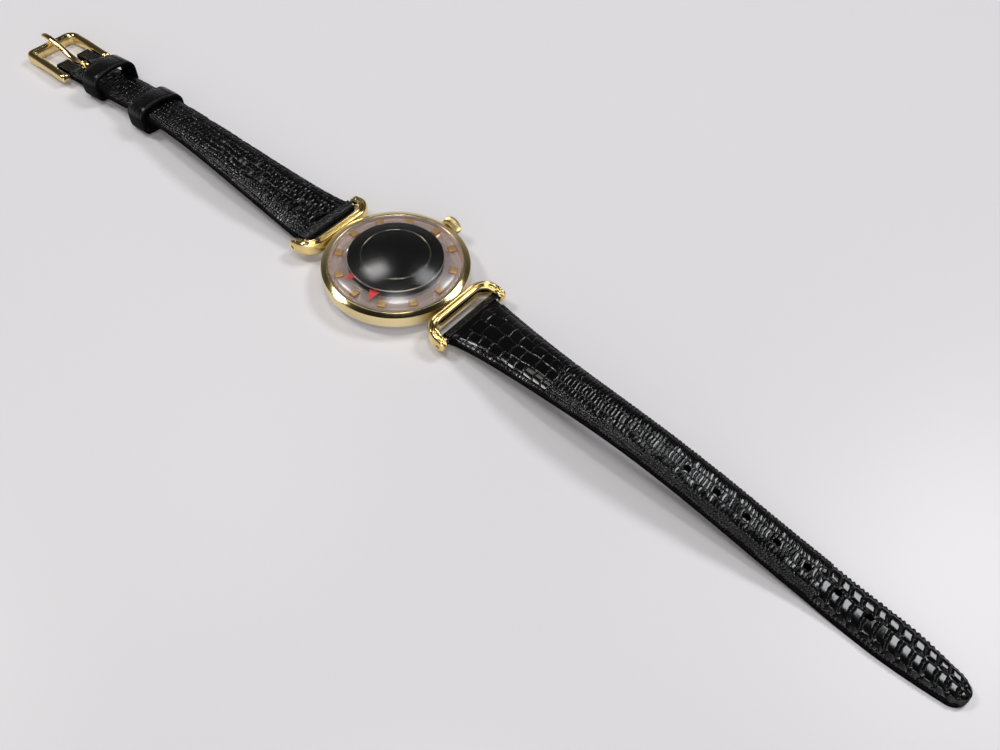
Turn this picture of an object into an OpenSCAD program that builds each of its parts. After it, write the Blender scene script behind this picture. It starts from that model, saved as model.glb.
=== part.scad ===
// See-through wristwatch with a clear dial ring, a domed black centre cover, two red arrow
// hands, a hand-wound movement in a round can, and a two-piece buckled strap.
// Millimetres. The case centre is the origin, the case back lies on z = 0, the crystal faces +Z,
// the crown is on +Y (3 o'clock), the buckle half runs to -X and the pointed half to +X.

/* [Case] */
// Outer diameter of the case ring
case_d = 30; // [29:0.5:33]
// Height of the snap-on back ring
back_h = 1.9; // [1.8:0.1:2.4]
// Height of the satin gold side
side_h = 2.55; // [2.5:0.05:3]
// Radial width of the polished bevel
bevel_w = 1.05; // [0.8:0.05:1.3]
// Height of the polished bevel
bevel_h = 0.45; // [0.3:0.05:0.6]
// Radial width of the thin lip round the crystal
lip_w = 0.45; // [0.35:0.05:0.6]
// Radial width of the ledge that carries the clear dial ring
ledge_w = 0.5; // [0.3:0.05:0.6]
// Thickness of the clear window in the back
back_glass_t = 0.5; // [0.4:0.05:0.55]

/* [Crystal and cover] */
// Thickness of the domed crystal
glass_t = 0.8; // [0.6:0.05:1]
// Diameter of the black domed cover
cover_d = 19.4; // [19:0.1:20]
// Rise of the cover from its rim to its middle
cover_rise = 1.25; // [1:0.05:1.6]
// Thickness of the cover
cover_t = 0.35; // [0.3:0.05:0.45]
// Clearance between the minute hand's tip and the crystal
hand_room = 0.2; // [0.15:0.05:0.4]
// Radius of the thin gilt ring in the cover
gilt_r = 6.93; // [6.5:0.05:7.3]
// Width of the gilt ring
gilt_w = 0.18; // [0.14:0.02:0.24]

/* [Dial and hands] */
// Thickness of the clear dial ring
dial_t = 0.6; // [0.5:0.05:0.65]
// Length of an hour block along the radius
marker_l = 1.55; // [1.2:0.05:1.6]
// Width of an hour block
marker_w = 1.55; // [1.2:0.05:1.6]
// Height of an hour block
marker_h = 0.5; // [0.3:0.05:0.5]
// Gap between the minute hand's tip and the crystal's wall
minute_gap = 0.5; // [0.4:0.05:1]
// How much shorter the hour hand is than the minute hand
hour_shorter = 0.85; // [0.6:0.05:1.2]
// Width of an arrow head at its base
arrow_w = 2.3; // [1.8:0.1:2.6]
// Minutes shown after nine o'clock
minutes_shown = 42; // [0:1:59]

/* [Movement can] */
// Outer diameter of the movement can
drum_d = 18.4; // [18.2:0.05:18.6]
// Wall of the movement can
drum_wall = 0.4; // [0.3:0.05:0.45]

/* [Crown] */
// Diameter of the crown
crown_d = 4.2; // [3.8:0.1:4.6]
// Length of the crown
crown_l = 2.2; // [2.1:0.1:2.6]
// Travel of the crown when it is pulled out to set the hands
pull = 0.8; // [0.6:0.05:0.8]
// Number of grooves round the crown
crown_teeth = 22; // [18:1:28]

/* [Lugs] */
// Gap between the two horns of a lug
lug_gap = 15; // [14:0.5:16]
// Width of a horn and of the cross bar
horn_w = 2.2; // [2:0.1:2.4]
// Distance from the case side to the spring bar's axis
pin_out = 5; // [4.8:0.1:5.6]
// Height of the spring bar's axis above the table
pin_z = 2.6; // [2.4:0.1:3]
// Height of the lug's top face above the table
lug_top = 4.6; // [4.4:0.1:4.8]
// Height of the lug's under face above the table
lug_low = 1.5; // [1.3:0.05:1.6]
// Radius of the spring bar's body
bar_r = 0.75; // [0.6:0.05:0.8]
// Radius of the spring bar's tips
bar_tip_r = 0.4; // [0.3:0.05:0.5]

/* [Strap] */
// Side gap between the strap and each horn
strap_gap = 0.4; // [0.3:0.05:0.6]
// Length of the pointed half, from its spring bar to its tip
long_l = 108; // [100:1:116]
// Length of the buckle half, from its spring bar to the buckle's bar
short_l = 81.5; // [76:0.5:86]
// Width of the pointed half beyond its taper
long_w = 8.6; // [8:0.1:9.4]
// Width of the buckle half at its narrowest
short_w = 8.8; // [8.6:0.1:9.4]
// Length over which each half tapers
taper_l = 50; // [40:1:60]
// Thickness of the strap in its padded middle at the lugs
strap_t = 2.5; // [2.2:0.1:2.8]
// Thickness of the strap beyond the padding
tail_t = 1.9; // [1.7:0.1:2.1]
// Thickness of the strap along its edges
edge_t = 1.1; // [0.9:0.05:1.3]
// Thickness of the lining under the strap
lining_t = 0.45; // [0.35:0.05:0.5]
// Height of the gap under the pointed half's arch
long_arch = 6.6; // [4:0.2:8]
// Height of the gap under the buckle half's arch
short_arch = 5.3; // [4.6:0.1:6]
// Sideways set of the pointed half at its tip
long_sway = 4.4; // [0:0.05:6]
// Sideways bow of the buckle half
short_sway = 0.9; // [0:0.1:2]
// How far its buckle half swings back the other way
short_wave = 0.75; // [0:0.05:1]
// Number of buckle holes
hole_n = 7; // [5:1:8]
// Spacing of the buckle holes
hole_pitch = 6.2; // [6:0.1:6.4]
// Distance from the spring bar to the first buckle hole
hole_first = 52.3; // [46:0.1:54]
// Radius of a buckle hole
hole_r = 0.75; // [0.6:0.05:0.9]

/* [Keepers] */
// Width of a keeper along the strap
keeper_w = 5.6; // [5:0.1:6.2]
// Thickness of a keeper's leather
keeper_t = 0.8; // [0.6:0.05:0.9]
// Room for the strap across a keeper
keeper_in_w = 10; // [9.8:0.1:10.4]
// Room for two strap layers inside a keeper
keeper_in_h = 4.6; // [4.5:0.1:5]
// Distance from the buckle's bar to the fixed keeper's middle
fixed_back = 9.8; // [9.4:0.1:10.4]
// Distance from the buckle's bar to the free keeper's middle
free_back = 27; // [25:0.5:28]

/* [Buckle] */
// Room for the strap inside the buckle frame
buckle_in = 9.8; // [9.6:0.1:10.2]
// Thickness of the buckle's wire
buckle_t = 1.95; // [1.6:0.05:2.05]
// Length of the buckle from its bar to its front edge
buckle_l = 14.2; // [13:0.1:15.5]
// Height of the buckle's bar above the table
buckle_z = 1.9; // [1.8:0.1:2.1]
// Radius of the buckle's bar
buckle_bar_r = 0.55; // [0.45:0.05:0.6]
// Width of the tongue
tongue_w = 1.4; // [1.2:0.05:1.45]

/* [Hidden] */
$fn = 64;

// Running gap between turning pieces, and the seat gap between fixed round ones
run = 0.05;
fit = 0.01;
// Length of a cut that runs right through what it is made in, and the excess of one
through = case_d;
past = case_d / 30;

// Case radii
case_r = case_d / 2;
lip_r = case_r - bevel_w;
glass_r = lip_r - lip_w;
ledge_r = glass_r - ledge_w;
// Case heights: everything inside is stacked from the stem's axis
side_z = back_h;
bevel_z = side_z + side_h;
lip_z = bevel_z + bevel_h;
stem_z = side_z + 0.9;
ledge_z = stem_z + 1.25;
dial_z = ledge_z + dial_t;
drum_r = drum_d / 2;
can_r = drum_r - drum_wall;
plate_r = can_r - 0.1;

// Movement levels
bridge_z = stem_z - 1.75;
bridge_t = 0.45;
wind_z = stem_z - 1.25;
wind_t = 0.25;
centre_z = stem_z - 0.93;
third_z = stem_z - 0.6;
escape_z = stem_z - 0.5;
fourth_z = stem_z - 0.3;
wheel_t = 0.13;
barrel_z = stem_z - 0.65;
barrel_h = 0.83;
rim_z = stem_z - 0.3;
rim_h = 0.46;
plate_z = stem_z + 0.25;
plate_t = 0.6;
plate_top = plate_z + plate_t;
motion_z = plate_top + 0.1;
motion_t = 0.12;
hour_wheel_z = motion_z + 0.37;
balance_z = stem_z - 1.08;
balance_t = 0.28;
spring_z = balance_z - 0.17;
fork_z = stem_z - 0.5;
fork_bridge_z = stem_z - 0.75;

// Back window, just clear of the bridges
back_glass_z = bridge_z - 0.15 - back_glass_t;
back_glass_r = ledge_r - 0.6;
back_open_r = back_glass_r - 0.6;
tube_r = 0.8;
tube_in = 0.55;

// Crystal dome: the cover's top is part of a ball, and the crystal's inside follows it
cover_r = cover_d / 2;
cover_ball = (cover_r * cover_r + cover_rise * cover_rise) / (2 * cover_rise);
bond = 0.03;
glass_in = cover_ball + bond;
glass_out = glass_in + glass_t;
hand_t = 0.12;
hour_hand_z = dial_z + marker_h + 0.05;
minute_hand_z = hour_hand_z + hand_t + 0.1;
minute_reach = glass_r - glass_t - minute_gap;
hour_reach = minute_reach - hour_shorter;
// The dome's centre leaves the minute hand's tip its room, and the cover hangs under the dome
ball_z = minute_hand_z + hand_t + hand_room - sqrt(glass_in * glass_in - minute_reach * minute_reach);
function ball_top(ball, r) = ball_z + sqrt(ball * ball - r * r);
cover_z = ball_top(cover_ball, cover_r);
gilt_z = ball_top(cover_ball, gilt_r + gilt_w / 2);

// Hour blocks and hands reach to just inside the crystal's wall
marker_out = glass_r - glass_t - 0.15;
cannon_in = 0.22;
cannon_out = 0.35;
pipe_in = cannon_out + run;
pipe_out = 0.55;

// Crown and stem
crown_y = case_r + 0.55;
crown_recess = 1.4;
crown_bore = 1.35;
tube_y0 = can_r + 0.1;
tube_y1 = crown_y + 0.95;
stem_r = 0.45;
stem_y0 = 2.9;
square_y0 = 3.95;
cut_w = 1.1;
pin_slot = 0.6;
groove_y = 7.55;
groove_w = 0.4;
neck_r = 0.25;
square_w = 0.55;
tail_r = 0.22;

// Winding wheels: the crown wheel stands under the stem and drives the ratchet wheel
crown_wheel = [0, 4.8];
contrate_r = 1.7;
contrate_w = 0.4;
wind_teeth = 12;
crown_wheel_teeth = 25;
ratchet_teeth = 41;
wind_r = contrate_r * wind_teeth / crown_wheel_teeth;
wind_y = crown_wheel[1] + contrate_r;
wind_w = 0.8;
clutch_y = 4.4;
clutch_l = 1.3;
clutch_r = 0.85;
clutch_shift = 0.45;
dog_l = 0.2;

// Wheel centres, from the middle of the movement outwards
barrel_at = [-4.1, 1.7];
third_at = 2.9 * [cos(-77.8), sin(-77.8)];
fourth_at = third_at + 2.55 * [cos(20), sin(20)];
escape_at = fourth_at + 2.31 * [cos(75), sin(75)];
balance_at = [5, 3.35];
fork_far = 1.58;
fork_turn = atan2(balance_at[1] - escape_at[1], balance_at[0] - escape_at[0]);
fork_at = escape_at + fork_far * [cos(fork_turn), sin(fork_turn)];

// Tooth counts
barrel_teeth = 60;
centre_teeth = 64;
centre_leaves = 12;
third_teeth = 60;
third_leaves = 8;
fourth_teeth = 70;
fourth_leaves = 8;
escape_teeth = 15;
escape_leaves = 7;
cannon_leaves = 12;
minute_teeth = 36;
minute_leaves = 10;
hour_teeth = 40;
setting_teeth = 16;

// Tooth sizes follow from the distance between two centres and their tooth counts
function tooth(a, b, na, nb) = 2 * norm(b - a) / (na + nb);
function bearing(a, b) = atan2(b[1] - a[1], b[0] - a[0]);
middle = [0, 0];
barrel_m = tooth(barrel_at, middle, barrel_teeth, centre_leaves);
centre_m = tooth(middle, third_at, centre_teeth, third_leaves);
third_m = tooth(third_at, fourth_at, third_teeth, fourth_leaves);
fourth_m = tooth(fourth_at, escape_at, fourth_teeth, escape_leaves);
wind_m = tooth(crown_wheel, barrel_at, crown_wheel_teeth, ratchet_teeth);
setting_at = [0, 3.05];
minute_far = 2.5;
cannon_m = 2 * minute_far / (cannon_leaves + minute_teeth);
hour_m = 2 * minute_far / (minute_leaves + hour_teeth);
setting_far = cannon_m * (minute_teeth + setting_teeth) / 2;
minute_y = (minute_far ^ 2 - setting_far ^ 2 + setting_at[1] ^ 2) / (2 * setting_at[1]);
minute_at = [sqrt(minute_far ^ 2 - minute_y ^ 2), minute_y];
escape_r = 1.35;

// Turn of the second gear so that its gap meets the first gear's tooth
function mesh_turn(a, b, na, turn_a, nb) =
    bearing(a, b) + 180 - (0.5 - (bearing(a, b) - turn_a) * na / 360) * 360 / nb;

// Bridge feet
barrel_feet = [[-2.7, 7.5], [-7.9, -1.8], [2.6, 6.4]];
train_feet = [[-1.6, -7.6], [6.6, -4.6], [-3.4, -4.6]];
cock_foot = [7.4, -0.7];
fork_feet = [[2.75, 2.6], [6, 0.6]];
foot_r = 0.6;
screw_r = 0.25;
screw_head_r = 0.42;
thread_l = 0.3;
clamp_in = 0.35;
fork_pin_r = 0.15;
arbor_r = 0.35;
centre_bore = 0.3;
jewel_r = 0.42;
pivot_r = 0.08;
click_at = barrel_at + 4.1 * [cos(215), sin(215)];
clamp_at = [for (a = [-20, 160, 260]) plate_r * [cos(a), sin(a)]];
lever_at = [2.4, groove_y + pull / 2];
yoke_at = [-2.6, 6.2];

// Lug path: a straight bar, two round corners and two straight horns
horn_y = (lug_gap + horn_w) / 2;
corner_r = 3.4;
bar_x = case_r + horn_w / 2 - 0.15;
pin_x = case_r + pin_out;
horn_end = pin_x + 1.3;
pin_hole_r = bar_tip_r + run;

// Strap
strap_w = lug_gap - 2 * strap_gap;
nose_r = strap_t / 2 + 0.05;
nose_bore = bar_r + run;
tip_l = 16;
tip_taper = 0.38;
tip_round = 3;
sway_l = 20.8;
tip_bend = 2.1;
bend_from = 78;
buckle_bar = buckle_z;
buckle_x = pin_x + short_l;
buckle_end_z = buckle_z - tail_t / 2 - 0.05;
long_stations = 46;
short_stations = 36;
slot_w = tongue_w + 1.1;
fold_r = tail_t / 2 + 0.25;
fold_reach = 4.4;
fold_tip_r = 0.75;
slot_l = 3.4;
buckle_sway = 0.6;

// Colours
gold = [0.86, 0.68, 0.32];
steel = [0.75, 0.76, 0.78];
brass = [0.8, 0.65, 0.35];
ruby = [0.75, 0.1, 0.25];
clear = [0.85, 0.9, 0.93, 0.35];
leather = [0.05, 0.05, 0.06];
red = [0.9, 0.2, 0.18];
dark = [0.06, 0.06, 0.07];

// Shared shapes

module ring(r_out, r_in, h) {
    difference() {
        cylinder(r = r_out, h = h);
        translate([0, 0, -1]) cylinder(r = r_in, h = h + 2);
    }
}

module at(p, z = 0) {
    translate([p[0], p[1], z]) children();
}

// Turns a shape built along +Z so that it runs along +Y, at the stem's height
module along_stem(y) {
    translate([0, y, stem_z]) rotate([-90, 0, 0]) children();
}

// A toothed outline: straight-sided teeth with a named share of the pitch at tip and root
module toothed(n, m, turn = 0, tip = 0.9, root = 1.25, tip_share = 0.2, root_share = 0.6) {
    pitch_r = n * m / 2;
    tip_r = pitch_r + tip * m;
    root_r = pitch_r - root * m;
    half = 180 / n;
    polygon([for (i = [0 : n - 1], k = [[root_r, -root_share], [tip_r, -tip_share],
            [tip_r, tip_share], [root_r, root_share]])
        k[0] * [cos(turn + 2 * half * i + half * k[1]), sin(turn + 2 * half * i + half * k[1])]]);
}

// Small pinion: slimmer leaves with deeper roots
module leaves(n, m, turn = 0) {
    toothed(n, m, turn, 0.75, 1.3, 0.16, 0.42);
}

// A wheel with a rim, a hub and crossed arms
module crossed_wheel(n, m, turn, t, arms = 4, rim = 0.35, hub = 0.55) {
    inner = n * m / 2 - 1.25 * m - rim;
    linear_extrude(t) difference() {
        toothed(n, m, turn);
        difference() {
            circle(inner);
            circle(hub);
            for (i = [0 : arms - 1]) rotate(i * 360 / arms) translate([0, -0.15]) square([inner, 0.3]);
        }
    }
}

// A turned shaft with a thin pivot at each end
module staff(z0, z1, r) {
    translate([0, 0, z0]) cylinder(r = pivot_r, h = z1 - z0);
    translate([0, 0, z0 + 0.35]) cylinder(r = r, h = z1 - z0 - 0.7);
}
staff_low = bridge_z + 0.15;
staff_high = plate_z + 0.3;

// Spiral strip between two radii
module spiral(r0, r1, turns, w, h, steps) {
    pts = [for (i = [0 : turns * steps]) let (u = i / (turns * steps), r = r0 + (r1 - r0) * u)
        [r, i * 360 / steps]];
    linear_extrude(h) polygon(concat(
        [for (p = pts) (p[0] - w / 2) * [cos(p[1]), sin(p[1])]],
        [for (i = [len(pts) - 1 : -1 : 0]) let (p = pts[i]) (p[0] + w / 2) * [cos(p[1]), sin(p[1])]]));
}

// Case and windows

module case_ring() {
    color(gold) difference() {
        rotate_extrude() polygon([[ledge_r, side_z], [case_r - 0.15, side_z], [case_r, side_z + 0.15],
            [case_r, bevel_z], [lip_r, lip_z], [glass_r, lip_z], [glass_r, ledge_z], [ledge_r, ledge_z]]);
        along_stem(0) cylinder(r = tube_r + fit, h = case_d);
    }
}

module case_back() {
    groove_r = ledge_r + 0.9;
    color(steel) difference() {
        rotate_extrude() polygon([[back_open_r, 0], [case_r - 1.4, 0], [case_r - 0.8, 0.45],
            [case_r - 0.25, side_z], [groove_r + 0.25, side_z], [groove_r + 0.25, side_z - 0.3],
            [groove_r - 0.25, side_z - 0.3], [groove_r - 0.25, side_z], [ledge_r - fit, side_z],
            [ledge_r - fit, side_z + 0.5], [ledge_r - 0.35, side_z + 0.5],
            [ledge_r - 0.35, back_glass_z + back_glass_t + 0.15],
            [back_glass_r, back_glass_z + back_glass_t + 0.15], [back_glass_r, back_glass_z],
            [back_open_r, back_glass_z]]);
        along_stem(0) cylinder(r = tube_r + run, h = ledge_r);
    }
}

module back_gasket() {
    groove_r = ledge_r + 0.9;
    color(dark) translate([0, 0, side_z - 0.28]) ring(groove_r + 0.22, groove_r - 0.22, 0.28);
}

module back_crystal() {
    color(clear) {
        cylinder(r = back_open_r - fit, h = back_glass_z + back_glass_t);
        translate([0, 0, back_glass_z]) cylinder(r = back_glass_r - fit, h = back_glass_t);
    }
}

module crystal() {
    color(clear) difference() {
        intersection() {
            translate([0, 0, dial_z]) cylinder(r = glass_r - fit, h = through);
            translate([0, 0, ball_z]) sphere(glass_out, $fn = 128);
        }
        intersection() {
            translate([0, 0, dial_z - past]) cylinder(r = glass_r - glass_t, h = glass_out);
            translate([0, 0, ball_z]) sphere(glass_in, $fn = 128);
        }
    }
}

module lug_section() {
    w = horn_w / 2;
    top = lug_top;
    polygon([[-w, lug_low + 0.5], [-w + 0.35, lug_low], [w - 0.35, lug_low], [w, lug_low + 0.5],
        [w, top - 0.6], [w - 0.25, top - 0.15], [w - 0.6, top], [w - 0.95, top - 0.28],
        [-w + 0.95, top - 0.28], [-w + 0.6, top], [-w + 0.25, top - 0.15], [-w, top - 0.6]]);
}

// One lug at +X: cross bar, corners and horns, with the spring bar's two holes
module lug() {
    straight = horn_y - corner_r;
    corner_x = bar_x + corner_r;
    color(gold) difference() {
        intersection() {
            union() {
                translate([bar_x, straight, 0]) rotate([90, 0, 0]) linear_extrude(2 * straight)
                    lug_section();
                for (s = [-1, 1]) {
                    translate([corner_x, s * straight, 0]) rotate([0, 0, s > 0 ? 90 : 180])
                        rotate_extrude(angle = 90) translate([corner_r, 0]) lug_section();
                    translate([corner_x, s * horn_y, 0]) rotate([90, 0, 90])
                        linear_extrude(horn_end - corner_x) lug_section();
                }
            }
            // Side outline: the horns slope down to a round end about the spring bar
            rotate([90, 0, 0]) linear_extrude(lug_gap + 4 * horn_w, center = true) union() {
                polygon([[bar_x - horn_w, 0], [pin_x, pin_z - 1.3], [pin_x, pin_z + 1.3],
                    [bar_x + horn_w / 2 + 0.6, lug_top + 0.1], [bar_x - horn_w, lug_top + 0.1]]);
                translate([pin_x, pin_z]) circle(1.3);
            }
        }
        cylinder(r = case_r + fit, h = lug_top + 1);
        translate([pin_x, 0, pin_z]) rotate([90, 0, 0])
            cylinder(r = pin_hole_r, h = lug_gap + 4 * horn_w, center = true);
    }
}

module lug_6() {
    lug();
}

module lug_12() {
    mirror([1, 0, 0]) lug();
}

module spring_bar() {
    body = lug_gap - 0.3;
    color(steel) translate([pin_x, 0, pin_z]) rotate([90, 0, 0]) {
        cylinder(r = bar_r, h = body, center = true);
        cylinder(r = bar_tip_r, h = lug_gap + 2 * horn_w - 0.8, center = true);
    }
}

module spring_bar_6() {
    spring_bar();
}

module spring_bar_12() {
    mirror([1, 0, 0]) spring_bar();
}

// Dial, cover and hands

module dial_ring() {
    color(clear) translate([0, 0, ledge_z]) ring(glass_r - fit, drum_r + run, dial_t);
}

module hour_blocks() {
    color(gold) for (i = [0 : 11]) rotate(i * 30)
        translate([marker_out - marker_l, -marker_w / 2, dial_z]) {
            cube([marker_l, marker_w, marker_h - 0.1]);
            translate([0.1, 0.1, 0]) cube([marker_l - 0.2, marker_w - 0.2, marker_h]);
        }
}

module cover_disc() {
    color(dark) difference() {
        intersection() {
            translate([0, 0, cover_z - cover_t]) cylinder(r = cover_r, h = cover_rise + 1);
            translate([0, 0, ball_z]) sphere(cover_ball, $fn = 128);
        }
        intersection() {
            translate([0, 0, cover_z - 1]) cylinder(r = cover_r - cover_t, h = cover_rise + 2);
            translate([0, 0, ball_z]) sphere(cover_ball - cover_t, $fn = 128);
        }
        translate([0, 0, gilt_z - 0.16]) ring(gilt_r + gilt_w / 2 + fit, gilt_r - gilt_w / 2 - fit, 1);
    }
}

module cover_gilt_ring() {
    color(gold) translate([0, 0, gilt_z - 0.15]) ring(gilt_r + gilt_w / 2, gilt_r - gilt_w / 2, 0.14);
}

// Arrow hand along +X: hub, slim arm and a swept arrow head
module hand(reach, hub, bore) {
    head = 2.6;
    linear_extrude(hand_t) difference() {
        union() {
            circle(hub);
            translate([0, -0.4]) square([reach - head + 0.4, 0.8]);
            polygon([[reach - head - 0.3, -arrow_w / 2], [reach, 0], [reach - head - 0.3, arrow_w / 2],
                [reach - head + 0.3, 0]]);
        }
        circle(bore);
    }
}

// Dial angles: 6 o'clock is on +X and 9 o'clock on -Y
minute_turn = 180 - 6 * minutes_shown;
hour_turn = -90 - 30 * minutes_shown / 60;

module hour_hand() {
    color(red) translate([0, 0, hour_hand_z]) rotate(hour_turn) hand(hour_reach, 1.1, pipe_out);
}

module minute_hand() {
    color(red) translate([0, 0, minute_hand_z]) rotate(minute_turn) hand(minute_reach, 0.9, cannon_out);
}

// Movement can

module movement_can() {
    color(steel) difference() {
        union() {
            translate([0, 0, bridge_z - 0.05]) cylinder(r = drum_r, h = dial_z - bridge_z + 0.05);
            translate([0, 0, ledge_z - 0.25]) cylinder(r = drum_r + 0.45, h = 0.25);
        }
        translate([0, 0, 0]) cylinder(r = can_r, h = dial_z + 1);
        along_stem(0) cylinder(r = tube_r + fit, h = case_r);
        for (p = clamp_at) at(p, plate_top) cylinder(r = 0.65, h = 0.3);
    }
}

module can_lid() {
    color(steel) translate([0, 0, dial_z]) ring(drum_r + 0.4, pipe_out + 0.2, 0.25);
}

module casing_screws() {
    color(steel) for (p = clamp_at) difference() {
        union() {
            at(p * (1 - clamp_in / plate_r), plate_z + 0.1) cylinder(r = screw_r, h = plate_t - 0.1);
            at(p, plate_top) cylinder(r = 0.6, h = 0.22);
        }
        at(p, plate_top + 0.12) translate([-1, -0.06, 0]) cube([2, 0.12, 1]);
    }
}

// Crown, stem and keyless work

module crown_tube() {
    color(gold) along_stem(tube_y0) ring(tube_r, tube_in, tube_y1 - tube_y0);
}

module crown() {
    groove = 0.12;
    r = crown_d / 2;
    color(gold) along_stem(crown_y) difference() {
        intersection() {
            linear_extrude(crown_l) polygon([for (i = [0 : crown_teeth - 1], k = [[-0.42, r - groove],
                    [-0.22, r], [0.22, r], [0.42, r - groove]])
                k[1] * [cos((i + k[0]) * 360 / crown_teeth), sin((i + k[0]) * 360 / crown_teeth)]]);
            translate([0, 0, -2 * r]) sphere(crown_l + 2 * r);
        }
        translate([0, 0, -1]) cylinder(r = crown_bore, h = crown_recess + 1);
    }
}

module crown_gasket() {
    color(dark) along_stem(crown_y + 0.35) ring(crown_bore - 0.02, tube_r + 0.03, 0.4);
}

module winding_stem() {
    round_y0 = clutch_y + clutch_l + 0.05;
    color(steel) difference() {
        union() {
            along_stem(stem_y0) cylinder(r = tail_r, h = square_y0 + 0.05 - stem_y0);
            along_stem(square_y0) translate([-square_w / 2, -square_w / 2, 0])
                cube([square_w, square_w, round_y0 - square_y0]);
            along_stem(round_y0) cylinder(r = stem_r, h = crown_y + crown_recess - round_y0);
        }
        along_stem(groove_y - groove_w / 2) ring(2, neck_r, groove_w);
    }
}

module winding_pinion() {
    color(steel) {
        along_stem(wind_y - wind_w / 2) linear_extrude(wind_w) difference() {
            toothed(wind_teeth, 2 * wind_r / wind_teeth, 90, 0.65, 0.95, 0.14, 0.4);
            circle(stem_r + run);
        }
        along_stem(wind_y - wind_w / 2 - dog_l) dogs(0);
    }
}

// Six radial teeth that the pinion and the clutch turn each other with
module dogs(turn) {
    linear_extrude(dog_l) intersection() {
        difference() {
            circle(clutch_r - 0.15);
            circle(stem_r + 0.08);
        }
        for (i = [0 : 5]) rotate(turn + i * 60)
            polygon([[0, 0], [cos(-12), sin(-12)], [cos(12), sin(12)]]);
    }
}

module clutch_wheel() {
    groove_at = clutch_y + 0.4;
    color(steel) difference() {
        union() {
            along_stem(clutch_y) cylinder(r = clutch_r, h = clutch_l);
            along_stem(clutch_y + clutch_l) dogs(30);
            along_stem(clutch_y - dog_l) linear_extrude(dog_l) intersection() {
                difference() {
                    circle(clutch_r);
                    circle(clutch_r - 0.25);
                }
                for (i = [0 : 11]) rotate(i * 30) polygon([[0, 0], [cos(-6), sin(-6)], [cos(6), sin(6)]]);
            }
        }
        along_stem(clutch_y - 1) linear_extrude(clutch_l + 2)
            square(square_w + 0.08, center = true);
        along_stem(groove_at) ring(2, clutch_r - 0.35, 0.32);
    }
}

module setting_lever() {
    pin = [0, groove_y];
    turn = bearing(lever_at, pin);
    reach = norm(pin - lever_at);
    color(steel) {
        at(lever_at, motion_z) linear_extrude(0.15) difference() {
            union() {
                circle(0.4);
                rotate(turn) translate([0, -0.22]) square([reach, 0.44]);
                rotate(turn) translate([reach, 0]) circle(0.22);
            }
            circle(0.2 + run);
        }
        at(pin, stem_z + neck_r + 0.05) cylinder(r = 0.12, h = motion_z - stem_z - neck_r);
    }
}

module yoke() {
    tip = [0, clutch_y + 0.56];
    turn = bearing(yoke_at, tip);
    reach = norm(tip - yoke_at);
    color(steel) {
        at(yoke_at, motion_z) linear_extrude(0.15) difference() {
            union() {
                circle(0.4);
                rotate(turn) translate([0, -0.2]) square([reach, 0.4]);
                rotate(turn) translate([reach, 0]) circle(0.2);
            }
            circle(0.2 + run);
        }
        at(tip, stem_z + clutch_r - 0.3) cylinder(r = 0.1, h = motion_z - stem_z - clutch_r + 0.35);
    }
}

// Plates and bridges

module main_plate() {
    color(brass) {
        difference() {
            at(middle, plate_z) cylinder(r = plate_r, h = plate_t);
            along_stem(stem_y0 - stem_r) cylinder(r = stem_r + 0.1, h = plate_r);
            translate([-cut_w, stem_y0, plate_z - past])
                cube([2 * cut_w, wind_y + wind_w / 2 + 0.1 - stem_y0, plate_t + 2 * past]);
            translate([-pin_slot / 2, wind_y, plate_z - past])
                cube([pin_slot, plate_r - wind_y, plate_t + 2 * past]);
            at(middle, 0) cylinder(r = centre_bore, h = through);
            at(barrel_at, 0) cylinder(r = arbor_r + run, h = through);
            for (p = [third_at, fourth_at, escape_at, fork_at, balance_at])
                at(p, plate_z - past) cylinder(r = jewel_r, h = past + plate_t / 2);
            for (p = concat(barrel_feet, train_feet, [cock_foot]))
                at(p, plate_z - past) cylinder(r = screw_r + fit, h = past + thread_l + 0.05);
            for (p = fork_feet) at(p, plate_z - past) cylinder(r = fork_pin_r + fit, h = past + plate_t / 2);
            for (p = clamp_at) at(p * (1 - clamp_in / plate_r), plate_z - past)
                cylinder(r = screw_r + fit, h = plate_t + 2 * past);
        }
        at(minute_at, plate_top) cylinder(r = 0.2, h = 0.65);
        for (p = [lever_at, yoke_at]) at(p, plate_top) cylinder(r = 0.2, h = 0.3);
        translate([-0.6, setting_at[1] - 0.25, plate_top - 0.1]) cube([1.2, 0.25, 0.1]);
    }
}

module screw_hole(p) {
    at(p, bridge_z - past) cylinder(r = screw_head_r + fit, h = past + 0.2);
    at(p, bridge_z) cylinder(r = screw_r + fit, h = through);
}

module jewel_hole(p) {
    at(p, bridge_z - past) cylinder(r = jewel_r, h = bridge_t + 2 * past);
}

module barrel_bridge() {
    window = 0.62 * ratchet_teeth * wind_m;
    color(brass) difference() {
        union() {
            at(middle, bridge_z) linear_extrude(bridge_t) intersection() {
                circle(plate_r - 0.1);
                polygon([[-can_r, -3.2], [-1.2, -1.2], [1.2, -0.6], [1.3, 1.6], [1.9, 4.2], [3.4, 5.6],
                    [3.4, can_r], [-can_r, can_r]]);
            }
            for (p = barrel_feet) at(p, bridge_z) cylinder(r = foot_r, h = plate_z - bridge_z);
            at(crown_wheel, bridge_z) cylinder(r = 0.45, h = wind_z + wind_t - bridge_z + 0.03);
            at(click_at, bridge_z) cylinder(r = 0.2, h = wind_z + wind_t - bridge_z);
        }
        for (p = barrel_feet) screw_hole(p);
        at(barrel_at, 0) cylinder(r = 0.45 + run, h = through);
        at(middle, 0) cylinder(r = 0.2 + run, h = through);
        at(barrel_at, bridge_z - 1) linear_extrude(3) difference() {
            circle(window / 2);
            circle(1.1);
            for (i = [0 : 2]) rotate(20 + i * 120) translate([0, -0.3]) square([window, 0.6]);
        }
    }
}

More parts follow.
